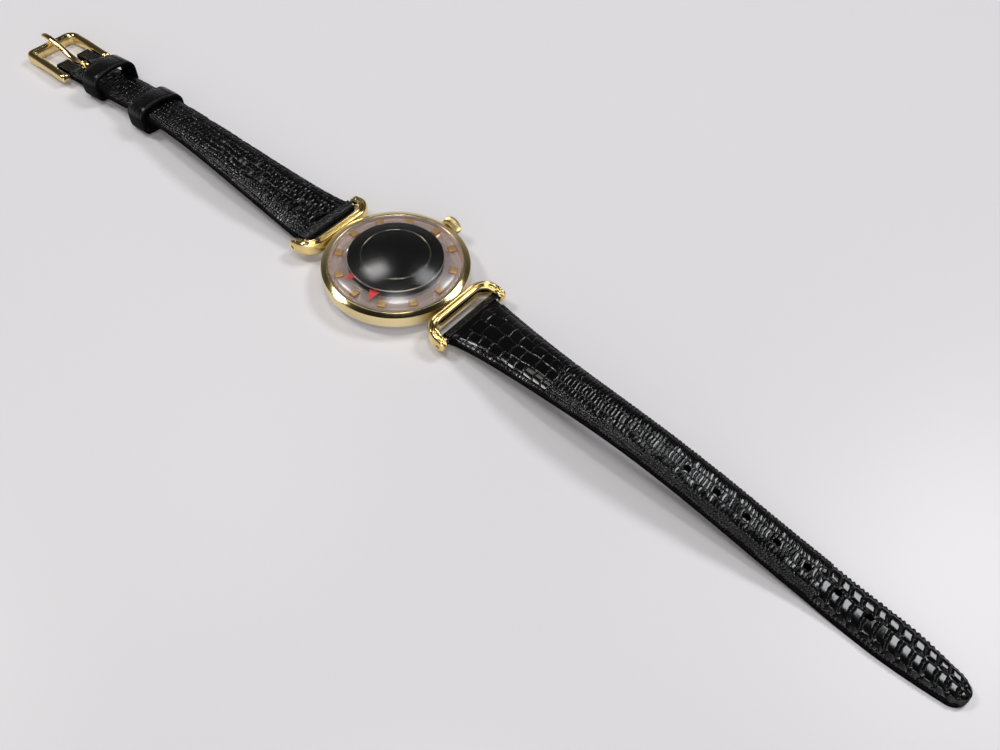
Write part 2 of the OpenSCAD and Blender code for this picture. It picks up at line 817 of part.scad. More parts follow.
module train_bridge() {
    color(brass) difference() {
        union() {
            at(middle, bridge_z) linear_extrude(bridge_t) intersection() {
                circle(plate_r - 0.1);
                polygon([[-4.6, -5.8], [-0.6, -2], [2.5, -0.9], [2.6, 1.3], [4.6, 1.3], [4.9, -1],
                    [7.6, -3.4], [9, -6], [3, -9], [-4, -9]]);
            }
            for (p = train_feet) at(p, bridge_z) cylinder(r = foot_r, h = plate_z - bridge_z);
        }
        for (p = train_feet) screw_hole(p);
        for (p = [third_at, fourth_at, escape_at]) jewel_hole(p);
        at([2.5, -5.4], bridge_z - 1) cylinder(r = 1.4, h = 3);
    }
}

module balance_cock() {
    far = norm(balance_at - cock_foot);
    color(brass) difference() {
        union() {
            at(cock_foot, bridge_z) rotate(bearing(cock_foot, balance_at)) linear_extrude(bridge_t) {
                circle(1);
                translate([0, -0.8]) square([far, 1.6]);
                translate([far, 0]) circle(0.95);
            }
            at(cock_foot, bridge_z) cylinder(r = 0.75, h = plate_z - bridge_z);
        }
        screw_hole(cock_foot);
        jewel_hole(balance_at);
    }
}

module pallet_bridge() {
    t = 0.14;
    far = norm(fork_feet[1] - fork_feet[0]);
    color(brass) {
        difference() {
            at(fork_feet[0], fork_bridge_z) rotate(bearing(fork_feet[0], fork_feet[1]))
                linear_extrude(t) {
                    circle(0.4);
                    translate([0, -0.36]) square([far, 0.72]);
                    translate([far, 0]) circle(0.4);
                }
            at(fork_at, 0) cylinder(r = pivot_r + 0.03, h = through);
        }
        for (p = fork_feet) {
            at(p, fork_bridge_z) cylinder(r = 0.3, h = plate_z - fork_bridge_z);
            at(p, fork_bridge_z) cylinder(r = fork_pin_r, h = plate_z + 0.2 - fork_bridge_z);
        }
    }
}

module bridge_screws() {
    color(steel) for (p = concat(barrel_feet, train_feet, [cock_foot])) difference() {
        union() {
            at(p, bridge_z) cylinder(r = screw_head_r, h = 0.2);
            at(p, bridge_z) cylinder(r = screw_r, h = plate_z + thread_l - bridge_z);
        }
        at(p, bridge_z - 0.1) translate([-1, -0.06, 0]) cube([2, 0.12, 0.2]);
    }
}

module jewels() {
    t = 0.25;
    color(ruby) {
        for (p = [third_at, fourth_at, escape_at, balance_at])
            at(p, bridge_z + 0.1) ring(jewel_r - fit, pivot_r + 0.03, t);
        for (p = [third_at, fourth_at, escape_at, fork_at, balance_at])
            at(p, plate_z + 0.02) ring(jewel_r - fit, pivot_r + 0.03, t);
    }
}

// Winding work and barrel

module barrel() {
    wall = 0.25;
    body_r = barrel_teeth * barrel_m / 2 - 1.25 * barrel_m - 0.1;
    color(brass) difference() {
        union() {
            at(barrel_at, barrel_z) cylinder(r = body_r, h = barrel_h);
            at(barrel_at, rim_z) linear_extrude(rim_h)
                toothed(barrel_teeth, barrel_m, 0);
        }
        at(barrel_at, barrel_z + 0.12) cylinder(r = body_r - wall, h = barrel_h - 0.27);
        at(barrel_at, 0) cylinder(r = arbor_r + run, h = through);
    }
}

module barrel_arbor() {
    color(steel) at(barrel_at, 0) {
        translate([0, 0, bridge_z]) cylinder(r = 0.45, h = wind_z - bridge_z);
        translate([-0.3, -0.3, wind_z]) cube([0.6, 0.6, wind_t]);
        translate([0, 0, wind_z + wind_t]) cylinder(r = arbor_r, h = plate_z + 0.4 - wind_z - wind_t);
        translate([0, 0, barrel_z + 0.17]) cylinder(r = 0.7, h = barrel_h - 0.37);
    }
}

module mainspring() {
    inner = 0.95;
    outer = barrel_teeth * barrel_m / 2 - 1.25 * barrel_m - 0.5;
    color(steel) at(barrel_at, barrel_z + 0.17) spiral(inner, outer, 6, 0.12, barrel_h - 0.37, 20);
}

module ratchet_wheel() {
    turn = mesh_turn(crown_wheel, barrel_at, crown_wheel_teeth, 0, ratchet_teeth);
    color(steel) at(barrel_at, wind_z) linear_extrude(wind_t) difference() {
        toothed(ratchet_teeth, wind_m, turn);
        square(0.62, center = true);
    }
}

module crown_wheel() {
    top = stem_z - wind_r + 0.1;
    base_z = wind_z + wind_t;
    color(steel) at(crown_wheel, 0) {
        translate([0, 0, wind_z]) linear_extrude(wind_t) difference() {
            toothed(crown_wheel_teeth, wind_m, 0);
            circle(0.45 + run);
        }
        // Crown teeth: wedges of a ring, aligned so that a gap meets the winding pinion's leaf
        translate([0, 0, base_z - 0.01]) linear_extrude(top - base_z + 0.01) intersection() {
            difference() {
                circle(contrate_r + contrate_w / 2);
                circle(contrate_r - contrate_w / 2);
            }
            for (i = [0 : crown_wheel_teeth - 1]) rotate(90 + (i + 0.5) * 360 / crown_wheel_teeth)
                polygon([[0, 0], 3 * [cos(-2.1), sin(-2.1)], 3 * [cos(2.1), sin(2.1)]]);
        }
    }
}

module click() {
    turn = 94;
    color(steel) at(click_at, wind_z) rotate(turn) linear_extrude(wind_t - 0.02) difference() {
        union() {
            circle(0.42);
            polygon([[0, -0.35], [1.3, -0.12], [1.15, 0.1], [0, 0.35]]);
        }
        circle(0.2 + run);
    }
}

module click_spring() {
    color(steel) translate([0, 0, wind_z]) rotate(172) rotate_extrude(angle = 15)
        translate([plate_r - 0.35, 0]) square([0.1, 0.15]);
}

// Going train

module centre_wheel() {
    turn = mesh_turn(barrel_at, middle, barrel_teeth, 0, centre_leaves);
    color(brass) {
        at(middle, centre_z) crossed_wheel(centre_teeth, centre_m, 0, wheel_t);
        at(middle, bridge_z + 0.1) cylinder(r = 0.2, h = centre_z - bridge_z);
        at(middle, centre_z - 0.1) cylinder(r = 0.28, h = rim_z - centre_z + 0.1);
        at(middle, rim_z) linear_extrude(plate_z - 0.05 - rim_z) leaves(centre_leaves, barrel_m, turn);
        at(middle, rim_z) cylinder(r = 0.25, h = plate_top - rim_z);
        at(middle, rim_z) cylinder(r = cannon_in - 0.03, h = minute_hand_z - rim_z);
    }
}

module third_wheel() {
    turn = mesh_turn(middle, third_at, centre_teeth, 0, third_leaves);
    color(brass) at(third_at, 0) {
        translate([0, 0, third_z]) crossed_wheel(third_teeth, third_m, 0, wheel_t);
        translate([0, 0, centre_z - 0.08]) linear_extrude(0.3) leaves(third_leaves, centre_m, turn);
        staff(staff_low, staff_high, 0.18);
    }
}

module fourth_wheel() {
    turn = mesh_turn(third_at, fourth_at, third_teeth, 0, fourth_leaves);
    color(brass) at(fourth_at, 0) {
        translate([0, 0, fourth_z]) crossed_wheel(fourth_teeth, fourth_m, 0, wheel_t);
        translate([0, 0, third_z - 0.05]) linear_extrude(0.24) leaves(fourth_leaves, third_m, turn);
        staff(staff_low, staff_high, 0.16);
    }
}

module escape_wheel() {
    turn = mesh_turn(fourth_at, escape_at, fourth_teeth, 0, escape_leaves);
    color(steel) at(escape_at, 0) {
        translate([0, 0, escape_z]) linear_extrude(0.12) difference() {
            polygon([for (i = [0 : escape_teeth - 1], k = [[0, escape_r], [0.12, escape_r],
                    [0.3, escape_r - 0.35], [0.85, escape_r - 0.35]])
                k[1] * [cos((i + k[0]) * 24), sin((i + k[0]) * 24)]]);
            difference() {
                circle(escape_r - 0.5);
                circle(0.3);
                for (i = [0 : 3]) rotate(i * 90) translate([0, -0.08]) square([escape_r, 0.16]);
            }
        }
        translate([0, 0, escape_z + 0.14]) linear_extrude(0.24) leaves(escape_leaves, fourth_m, turn);
        staff(staff_low, staff_high, 0.12);
    }
}

module pallet_fork() {
    arm = 1.3;
    lift = escape_r + 0.12;
    // Stones stand just outside the escape wheel's teeth, either side of the line of centres
    stones = [for (s = [-1, 1]) [lift * cos(38) - fork_far, s * lift * sin(38)]];
    color(steel) at(fork_at, 0) rotate(fork_turn) {
        translate([0, 0, fork_z]) linear_extrude(0.14) {
            circle(0.24);
            translate([0, -0.1]) square([arm - 0.25, 0.2]);
            for (s = [-1, 1]) polygon([[arm - 0.4, 0], [arm - 0.25, s * 0.24], [arm, s * 0.24],
                [arm, s * 0.14], [arm - 0.18, s * 0.12], [arm - 0.25, 0]]);
            for (s = [-1, 1]) polygon([[-0.12, s * 0.2], [0.16, s * 0.15], [0.02, s * 1.12],
                [-0.2, s * 1.14]]);
        }
        for (p = stones) translate([p[0], p[1], fork_z]) rotate(sign(p[1]) * 38)
            translate([0, -0.07, 0]) cube([0.26, 0.14, 0.14]);
        translate([0, 0, fork_bridge_z - 0.03]) cylinder(r = pivot_r, h = staff_high - fork_bridge_z);
        translate([0, 0, fork_z]) cylinder(r = 0.12, h = plate_z - 0.05 - fork_z);
    }
}

module balance_wheel() {
    r = 2.35;
    color(gold) at(balance_at, 0) {
        translate([0, 0, balance_z]) linear_extrude(balance_t) difference() {
            circle(r);
            difference() {
                circle(r - 0.35);
                circle(0.4);
                for (i = [0 : 2]) rotate(90 + i * 120) translate([0, -0.13]) square([r, 0.26]);
            }
        }
        staff(staff_low, staff_high, 0.14);
        translate([0, 0, spring_z - 0.02]) cylinder(r = 0.3, h = 0.15);
        translate([0, 0, balance_z + balance_t + 0.03]) cylinder(r = 0.7, h = 0.11);
        rotate(fork_turn + 180) translate([0.5, 0, balance_z + balance_t + 0.1])
            cylinder(r = 0.07, h = 0.13);
    }
}

// The outer end is pinned to a stud under the cock's arm
module hairspring() {
    color(steel) at(balance_at, spring_z) rotate(bearing(balance_at, cock_foot)) {
        spiral(0.42, 1.5, 6, 0.05, 0.09, 24);
        translate([1.5, 0, bridge_z + bridge_t - spring_z]) cylinder(r = 0.14, h = 0.14);
    }
}

// Motion work under the hands

module cannon_pinion() {
    color(steel) at(middle, 0) difference() {
        union() {
            translate([0, 0, motion_z - 0.02]) linear_extrude(0.36) leaves(cannon_leaves, cannon_m, 0);
            translate([0, 0, motion_z]) cylinder(r = cannon_out, h = minute_hand_z + hand_t - motion_z);
        }
        translate([0, 0, 0]) cylinder(r = cannon_in, h = minute_hand_z + 1);
    }
}

module minute_wheel() {
    turn = mesh_turn(middle, minute_at, cannon_leaves, 0, minute_teeth);
    color(brass) at(minute_at, 0) difference() {
        union() {
            translate([0, 0, motion_z]) linear_extrude(motion_t) toothed(minute_teeth, cannon_m, turn);
            translate([0, 0, motion_z]) linear_extrude(0.5) leaves(minute_leaves, hour_m, 0);
        }
        cylinder(r = 0.2 + run, h = through);
    }
}

module hour_wheel() {
    turn = mesh_turn(minute_at, middle, minute_leaves, 0, hour_teeth);
    color(brass) difference() {
        union() {
            translate([0, 0, hour_wheel_z]) crossed_wheel(hour_teeth, hour_m, turn, motion_t, 4, 0.3, 0.8);
            translate([0, 0, hour_wheel_z]) cylinder(r = pipe_out, h = hour_hand_z + hand_t - hour_wheel_z);
        }
        cylinder(r = pipe_in, h = through);
    }
}

module setting_wheel() {
    start = mesh_turn(middle, minute_at, cannon_leaves, 0, minute_teeth);
    turn = mesh_turn(minute_at, setting_at, minute_teeth, start, setting_teeth);
    color(steel) at(setting_at, 0) {
        translate([0, 0, motion_z]) linear_extrude(motion_t) toothed(setting_teeth, cannon_m, turn);
        translate([0, 0, plate_top + 0.02]) cylinder(r = 0.25, h = 0.3);
    }
}

// Strap: stations run from the spring bar, and each has a place, a width and a thickness

function bump(u, a, b, c) = a * (1 - u) ^ 4 + 4 * b * u * (1 - u) ^ 3 + 6 * c * u ^ 2 * (1 - u) ^ 2;
long_touch = 90;
nose_low = pin_z - strap_t / 2;
function long_low(s) = s >= long_touch ? 0 : bump(s / long_touch, nose_low, 0.906 * long_arch,
    1.924 * long_arch);
// The strap lies off the case's axis, and its tip curls a little further
function long_mid_y(s) = -long_sway * (1 - exp(-((s / sway_l) ^ 1.66)))
    - tip_bend * (max(0, s - bend_from) / (long_l - bend_from)) ^ 1.3;
function long_width(s) = long_w + (strap_w - long_w) * (s < taper_l ? (1 - s / taper_l) ^ 2.4 : 0);
// The tip narrows slowly and ends in a blunt round
function tip_share(s) = s < long_l - tip_l ? 1
    : (1 - tip_taper * ((s - long_l + tip_l) / tip_l) ^ 1.6)
        * sqrt(max(0, 1 - (max(0, s - long_l + tip_round) / tip_round) ^ 2.5));
function thick(s, l) = tail_t + (strap_t - tail_t) * max(0, 1 - s / (0.5 * l)) ^ 0.8;

function short_low(s) = let (u = s / short_l) bump(u, nose_low, 0.95 * short_arch, 1.75 * short_arch)
    + 4 * buckle_end_z * u ^ 3 * (1 - u) + buckle_end_z * u ^ 4;
function short_mid_y(s) = let (u = s / short_l)
    -short_sway * sin(180 * u) - short_wave * sin(360 * u) - buckle_sway * u ^ 2;
function short_width(s) = short_w + (strap_w - short_w) * (s < taper_l ? (1 - s / taper_l) ^ 1.7 : 0);

// One ring of points: a slightly sunk underside and a crowned top, bottom to top and round
cross_n = 12;
function cross_ring(s, mid_y, low, slope, w, t_mid, z0, z1) =
    let (up = [-sin(slope), cos(slope)])
    concat(
        [for (i = [0 : cross_n]) let (v = 2 * i / cross_n - 1)
            [s + up[0] * z0, mid_y + v * w / 2, low + up[1] * z0]],
        [for (i = [cross_n : -1 : 0]) let (v = 2 * i / cross_n - 1,
                top = z1 > 0 ? z1 : min(edge_t, t_mid) + (t_mid - min(edge_t, t_mid))
                    * (1 - abs(v) ^ 2.4) - (abs(v) > 0.99 ? 0.12 : 0))
            [s + up[0] * top, mid_y + v * w / 2, low + up[1] * top]]);

module loft(rings) {
    n = len(rings[0]);
    last = (len(rings) - 1) * n;
    polyhedron(points = [for (r = rings) each r], faces = concat(
        [for (i = [0 : n / 2 - 2]) each [[i, i + 1, n - 2 - i], [i, n - 2 - i, n - 1 - i]]],
        [for (j = [0 : n : last - n], i = [0 : n - 1]) let (k = (i + 1) % n)
            each [[j + i, j + n + i, j + n + k], [j + i, j + n + k, j + k]]],
        [for (i = [0 : n / 2 - 2]) each [[last + n - 2 - i, last + i + 1, last + i],
            [last + n - 1 - i, last + n - 2 - i, last + i]]]));
}

long_s = [for (i = [0 : long_stations]) let (u = i / long_stations)
    u < 0.86 ? (long_l - tip_l) * u / 0.86 : long_l - tip_l + (tip_l - 0.05) * (1 - ((1 - u) / 0.14) ^ 1.6)];

module long_layer(z0, z1) {
    rings = [for (s = long_s) let (
            slope = atan((long_low(s + 0.1) - long_low(max(0, s - 0.1))) / (s < 0.1 ? 0.1 + s : 0.2)),
            w = max(0.8, long_width(s) * tip_share(s)), t = thick(s, long_l) * (0.75 + 0.25 * tip_share(s)))
        cross_ring(s, long_mid_y(s), long_low(s), slope, w, t, z0, z1)];
    translate([pin_x, 0, 0]) loft(rings);
}

module long_holes(grow = 0) {
    for (i = [0 : hole_n - 1]) {
        s = hole_first + i * hole_pitch;
        slope = atan((long_low(s + 0.1) - long_low(s - 0.1)) / 0.2);
        translate([pin_x + s, long_mid_y(s), long_low(s)]) rotate([0, -slope, 0])
            translate([0, 0, -3]) cylinder(r = hole_r + grow, h = 8);
    }
}

// Room swept by a spring bar's nose, which the lining stops short of
module strap_nose(x, z, r, w) {
    translate([x, 0, z]) rotate([90, 0, 0]) cylinder(r = r, h = w, center = true);
}

module strap_long() {
    color(leather) difference() {
        union() {
            long_layer(lining_t, 0);
            strap_nose(pin_x, pin_z, nose_r, strap_w);
        }
        strap_nose(pin_x, pin_z, nose_bore, strap_w + 2);
        long_holes();
    }
}

module lining_long() {
    color(leather) difference() {
        long_layer(0, lining_t);
        strap_nose(pin_x, pin_z, nose_r + fit, strap_w + 2);
        long_holes();
    }
}

short_s = [for (i = [0 : short_stations]) short_l * i / short_stations];

module short_layer(z0, z1) {
    rings = [for (s = short_s) let (slope = atan((short_low(s + 0.1) - short_low(s - 0.1)) / 0.2))
        cross_ring(s, -short_mid_y(s), short_low(s), slope, short_width(s), thick(s, short_l), z0, z1)];
    rotate(180) translate([pin_x, 0, 0]) loft(rings);
}

// Fold of leather round the buckle's bar, pulled out forward into a flat loop
module fold(grow) {
    translate([0, -buckle_sway, 0]) {
        strap_nose(-buckle_x, buckle_z, fold_r + grow, short_w + 2 * grow);
        strap_nose(-buckle_x - fold_reach, buckle_z, fold_tip_r + grow, short_w + 2 * grow);
        translate([-buckle_x, 0, buckle_z]) rotate([90, 0, 0])
            linear_extrude(short_w + 2 * grow, center = true)
                polygon([[0, -fold_r - grow], [0, fold_r + grow], [-fold_reach, fold_tip_r + grow],
                    [-fold_reach, -fold_tip_r - grow]]);
    }
}

// Slot for the tongue through the fold round the buckle's bar
module tongue_slot() {
    ahead = fold_reach + 3;
    translate([-buckle_x - ahead, -buckle_sway - slot_w / 2, -1]) cube([slot_l + ahead, slot_w, 8]);
}

module strap_short() {
    color(leather) difference() {
        union() {
            short_layer(lining_t, 0);
            strap_nose(-pin_x, pin_z, nose_r, strap_w);
            fold(0);
        }
        strap_nose(-pin_x, pin_z, nose_bore, strap_w + 2);
        strap_nose(-buckle_x, buckle_z, buckle_bar_r + run, strap_w + 2);
        tongue_slot();
    }
}

module lining_short() {
    color(leather) difference() {
        short_layer(0, lining_t);
        strap_nose(-pin_x, pin_z, nose_r + fit, strap_w + 2);
        fold(0.01);
        tongue_slot();
    }
}

// A keeper: a rounded band round the strap, square to the strap where it sits
module keeper(s, low) {
    slope = atan((short_low(s + 0.1) - short_low(s - 0.1)) / 0.2);
    yaw = atan((short_mid_y(s + 0.1) - short_mid_y(s - 0.1)) / 0.2);
    r = 0.7;
    w = keeper_in_w / 2;
    module band(grow) {
        for (p = [[-1, 0], [1, 0], [-1, 1], [1, 1]])
            translate([p[0] * (w - r), p[1] == 0 ? r : keeper_in_h - r]) circle(r + grow);
        translate([-w + r, -grow]) square([2 * (w - r), keeper_in_h + 2 * grow]);
        translate([-w - grow, r]) square([2 * (w + grow), keeper_in_h - 2 * r]);
    }
    color(leather) translate([-pin_x - s, short_mid_y(s), low]) rotate([0, slope, -yaw])
        rotate([90, 0, 90]) linear_extrude(keeper_w, center = true) difference() {
            band(keeper_t);
            band(0);
        }
}

module keeper_fixed() {
    s = short_l - fixed_back;
    keeper(s, short_low(s) - 0.06);
}

module keeper_free() {
    s = short_l - free_back;
    keeper(s, max(keeper_t + 0.4, short_low(s) + thick(s, short_l) - keeper_in_h + 0.1));
}

// Buckle

module buckle_at() {
    translate([-buckle_x, -buckle_sway, buckle_z]) children();
}

// Outline of the frame, open at the bar, with the front corners rounded
module buckle_outline(length, back, half, near, far) {
    hull() {
        translate([-length / 2, -half]) square([length / 2 + back, 2 * half]);
        translate([-length + near, -half + near]) circle(near);
        translate([-length + far, half - far]) circle(far);
    }
}

// The frame is deeper at the front, where it lies on the table
module buckle_frame() {
    half = buckle_in / 2;
    arm = buckle_l - buckle_t;
    low = 0.02 - buckle_z;
    color(gold) buckle_at() difference() {
        union() {
            intersection() {
                translate([0, 0, -buckle_z]) linear_extrude(2 * buckle_z + buckle_t) difference() {
                    buckle_outline(buckle_l, 0, half + buckle_t, front_near, front_far);
                    buckle_outline(arm, arm, half, inner_near, inner_far);
                }
                rotate([90, 0, 0]) linear_extrude(4 * half, center = true)
                    polygon([[-buckle_l, low], [-arm - 0.4, low], [-0.6 * arm, -buckle_t / 2],
                        [buckle_t, -buckle_t / 2], [buckle_t, buckle_t / 2], [-arm, buckle_t / 2],
                        [-buckle_l + 0.3, buckle_t / 2 - 0.1], [-buckle_l, buckle_t / 2 - 0.6]]);
            }
            for (s = [-1, 1]) translate([0, s * (half + buckle_t / 2), 0]) rotate([90, 0, 0])
                cylinder(r = buckle_t / 2, h = buckle_t, center = true);
        }
        rotate([90, 0, 0]) cylinder(r = buckle_bar_r + fit, h = 4 * half, center = true);
    }
}

module buckle_bar() {
    color(gold) buckle_at() rotate([90, 0, 0])
        cylinder(r = buckle_bar_r, h = buckle_in + 2 * buckle_t - 0.2, center = true);
}

// Tongue: a flat hook bent along a smooth dip, over the frame's front bar to a rounded tip
front_near = 1.4;
front_far = 2.8;
inner_near = 0.5;
inner_far = 1.6;
tongue_over = 2.3;
tongue_steps = 16;
tongue_t = 1.1;
tongue_root = buckle_bar_r + run;
function tongue_x(u) = -(buckle_l + tongue_over) * u;
function tongue_z(u) = let (crest = buckle_t / 2 + 0.2 + tongue_t / 2)
    (tongue_root + tongue_t / 2) * (1 - u) ^ 3 - 3 * 2.2 * u * (1 - u) ^ 2
    + 3 * (crest + 1.8) * u ^ 2 * (1 - u) + (crest - 0.5) * u ^ 3;

module buckle_tongue() {
    function side(u, k) = let (du = 0.01, a = atan2(tongue_z(u + du) - tongue_z(u - du),
            tongue_x(u + du) - tongue_x(u - du)), h = k * tongue_t / 2 * (u > 0.97 ? 0.55 : 1))
        [tongue_x(u) + h * sin(a), tongue_z(u) - h * cos(a)];
    color(gold) buckle_at() rotate([90, 0, 0]) linear_extrude(tongue_w, center = true) difference() {
        union() {
            circle(tongue_root + 0.75);
            polygon(concat([for (i = [0 : tongue_steps]) side(i / tongue_steps, 1)],
                [for (i = [tongue_steps : -1 : 0]) side(i / tongue_steps, -1)]));
        }
        circle(tongue_root);
    }
}

case_ring();
lug_12();
lug_6();
case_back();
back_crystal();
back_gasket();
crystal();
dial_ring();
hour_blocks();
cover_disc();
cover_gilt_ring();
movement_can();
can_lid();
casing_screws();
crown_tube();
crown();
crown_gasket();
winding_stem();
winding_pinion();
clutch_wheel();
setting_lever();
yoke();
main_plate();
barrel_bridge();
train_bridge();
balance_cock();
pallet_bridge();
bridge_screws();
jewels();
barrel();
barrel_arbor();
mainspring();
ratchet_wheel();
crown_wheel();
click();
click_spring();
centre_wheel();
third_wheel();
fourth_wheel();
escape_wheel();
pallet_fork();
balance_wheel();
hairspring();
cannon_pinion();
minute_wheel();
hour_wheel();
setting_wheel();
hour_hand();
minute_hand();
spring_bar_12();
spring_bar_6();
strap_short();
strap_long();
lining_short();
lining_long();
keeper_fixed();
keeper_free();
buckle_frame();
buckle_bar();
buckle_tongue();
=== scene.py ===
"""Skeleton wristwatch: dressed model for Blender 4.5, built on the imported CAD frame.

Lengths are in millimetres unless a line says otherwise, and MM turns them into metres. X runs from the
buckle to the pointed strap end, Y towards the crown and Z up out of the crystal.
"""
import math

import bmesh
import bpy
import numpy as np
from mathutils import Matrix, Vector

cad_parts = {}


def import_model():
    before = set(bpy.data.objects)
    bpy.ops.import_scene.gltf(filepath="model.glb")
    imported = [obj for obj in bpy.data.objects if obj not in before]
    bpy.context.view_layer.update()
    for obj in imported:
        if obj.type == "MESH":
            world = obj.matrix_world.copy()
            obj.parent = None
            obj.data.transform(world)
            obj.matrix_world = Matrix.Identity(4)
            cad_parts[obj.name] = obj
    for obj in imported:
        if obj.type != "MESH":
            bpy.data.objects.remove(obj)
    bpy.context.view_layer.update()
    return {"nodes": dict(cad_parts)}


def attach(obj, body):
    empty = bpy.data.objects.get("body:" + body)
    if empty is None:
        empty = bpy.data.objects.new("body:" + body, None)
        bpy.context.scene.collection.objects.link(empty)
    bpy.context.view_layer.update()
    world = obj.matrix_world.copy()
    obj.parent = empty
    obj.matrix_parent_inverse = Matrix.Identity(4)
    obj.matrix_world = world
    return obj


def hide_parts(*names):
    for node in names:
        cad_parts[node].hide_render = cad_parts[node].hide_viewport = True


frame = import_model()
MM = 0.001


# ---------------- camera
CAM_AZ, CAM_EL, CAM_ROLL = 37.017, 51.24, 3.847  # degrees, fitted to the photograph
CAM_AT = (0.107629, -0.10561, 0.156526)  # metres
PHOTO_W, FOCAL_PX, SENSOR_W = 1000, 1054.65, 36.0


def camera_axes(az, el, roll):
    """The camera's right, up and back directions."""
    a, e, r = map(math.radians, (az, el, roll))
    back = np.array([math.sin(a) * math.cos(e), -math.cos(a) * math.cos(e), math.sin(e)])
    right = np.array([math.cos(a), math.sin(a), 0.0])
    up = np.cross(back, right)
    return right * math.cos(r) + up * math.sin(r), -right * math.sin(r) + up * math.cos(r), back


def make_camera():
    cam = bpy.data.cameras.new("camera")
    cam.sensor_fit = "HORIZONTAL"
    cam.sensor_width = SENSOR_W
    cam.lens = FOCAL_PX / PHOTO_W * SENSOR_W
    cam.clip_start = 0.01
    cam.clip_end = 20
    obj = bpy.data.objects.new("camera", cam)
    bpy.context.scene.collection.objects.link(obj)
    axes = camera_axes(CAM_AZ, CAM_EL, CAM_ROLL)
    m = Matrix.Identity(4)
    for row in range(3):
        m[row] = [*(axis[row] for axis in axes), CAM_AT[row]]
    obj.matrix_world = m
    bpy.context.scene.camera = obj


make_camera()


# ---------------- materials
def material(name):
    m = bpy.data.materials.new(name)
    m.use_nodes = True
    nt = m.node_tree
    return m, nt, nt.nodes, nt.links, nt.nodes["Principled BSDF"]


def node(nt, kind, **values):
    """A new node, with each value set on the input or the attribute of that name."""
    n = nt.nodes.new(kind)
    for k, v in values.items():
        if k in n.inputs:
            n.inputs[k].default_value = v
        else:
            setattr(n, k, v)
    return n


def coords(nt, scale=1.0):
    """Object coordinates in millimetres, times scale."""
    tc = nt.nodes.new("ShaderNodeTexCoord")
    mp = nt.nodes.new("ShaderNodeMapping")
    scales = (scale,) * 3 if np.isscalar(scale) else scale
    mp.inputs["Scale"].default_value = tuple(s / MM for s in scales)
    nt.links.new(tc.outputs["Object"], mp.inputs["Vector"])
    return mp.outputs["Vector"]


def noise(nt, vec, scale, detail=3.0, rough=0.5):
    n = node(nt, "ShaderNodeTexNoise", Scale=scale, Detail=detail, Roughness=rough)
    nt.links.new(vec, n.inputs["Vector"])
    return n.outputs["Fac"]


def spread(nt, fac, lo, hi, start=0.0, end=1.0, kind="LINEAR"):
    """Map a value from start..end to lo..hi."""
    n = node(nt, "ShaderNodeMapRange", interpolation_type=kind)
    for key, x in (("From Min", start), ("From Max", end), ("To Min", lo), ("To Max", hi)):
        n.inputs[key].default_value = x
    nt.links.new(fac, n.inputs["Value"])
    return n.outputs["Result"]


def bump(nt, fac, strength, distance, bsdf):
    """Bump on a shader; distance is in metres."""
    b = node(nt, "ShaderNodeBump", Strength=strength, Distance=distance)
    nt.links.new(fac, b.inputs["Height"])
    nt.links.new(b.outputs["Normal"], bsdf.inputs["Normal"])
    return b


def mix_colour(nt, fac, a, b):
    n = nt.nodes.new("ShaderNodeMix")
    n.data_type = "RGBA"
    n.inputs[6].default_value = (*a, 1)
    n.inputs[7].default_value = (*b, 1)
    nt.links.new(fac, n.inputs[0])
    return n.outputs[2]


def metal(name, colour, rough, wear=0.04, grain=None, grain_scale=(1, 1, 1), depth=0.00002, other=None):
    """Polished or brushed metal: slight colour drift, uneven roughness, hairlines or fine pits."""
    m, nt, _, links, b = material(name)
    v = coords(nt)
    b.inputs["Metallic"].default_value = 1.0
    drift = noise(nt, v, 0.35, 2)
    dark = other or tuple(c * 0.9 for c in colour)
    links.new(mix_colour(nt, drift, colour, dark), b.inputs["Base Color"])
    links.new(spread(nt, noise(nt, v, 2.2, 4), rough, rough + wear), b.inputs["Roughness"])
    if grain:
        bump(nt, noise(nt, coords(nt, grain_scale), grain, 3, 0.6), 0.25, depth, b)
    return m


gold = metal("gold_polished", (0.88, 0.70, 0.34), 0.07, 0.05, other=(0.84, 0.65, 0.29))
gold_satin = metal("gold_satin", (0.9, 0.75, 0.42), 0.27, 0.08, grain=1.0, grain_scale=(1.2, 1.2, 14),
                   depth=0.00001)
gold_block = metal("gold_block_top", (0.8, 0.5, 0.2), 0.35, 0.1, grain=3.0, depth=0.00001)
# A darker, redder copy of the block gold: painted shade on the blocks' sides and in the lug pin holes.
gold_painted_shade = metal("gold_side_painted_shade", (0.7, 0.3, 0.12), 0.25, 0.08)
gold_lip = metal("gold_lip", (0.93, 0.78, 0.44), 0.2, 0.05, grain=2.0, depth=0.000004)
# Rose, darker gold for the case's inner wall: painted shade and painted warm reflection inside the case.
gold_wall_painted_shade = metal("gold_inner_wall_painted_shade", (0.85, 0.55, 0.42), 0.34, 0.1, grain=2.0, grain_scale=(1, 1, 6),
                  depth=0.000006)
# Dark gold painted into the floors of the crown's flutes: painted shade.
gold_flute_shade = metal("gold_flutes_painted_shade", (0.13, 0.09, 0.028), 0.38, 0.1)
gilt_grey = metal("gilt_thin", (0.62, 0.56, 0.42), 0.16, 0.06)
steel = metal("steel_polished", (0.77, 0.76, 0.74), 0.1, 0.06)
steel_brushed = metal("steel_brushed", (0.7, 0.7, 0.7), 0.24, 0.1, grain=2.0, grain_scale=(1, 9, 1),
                      depth=0.00001)
# Near-black steel for the movement's lid: painted shade, so its edge under the cover catches no highlight.
steel_lid_shade = metal("steel_painted_shade", (0.05, 0.05, 0.055), 0.3, 0.1)
blue_steel = metal("steel_blued", (0.05, 0.1, 0.32), 0.18, 0.08)


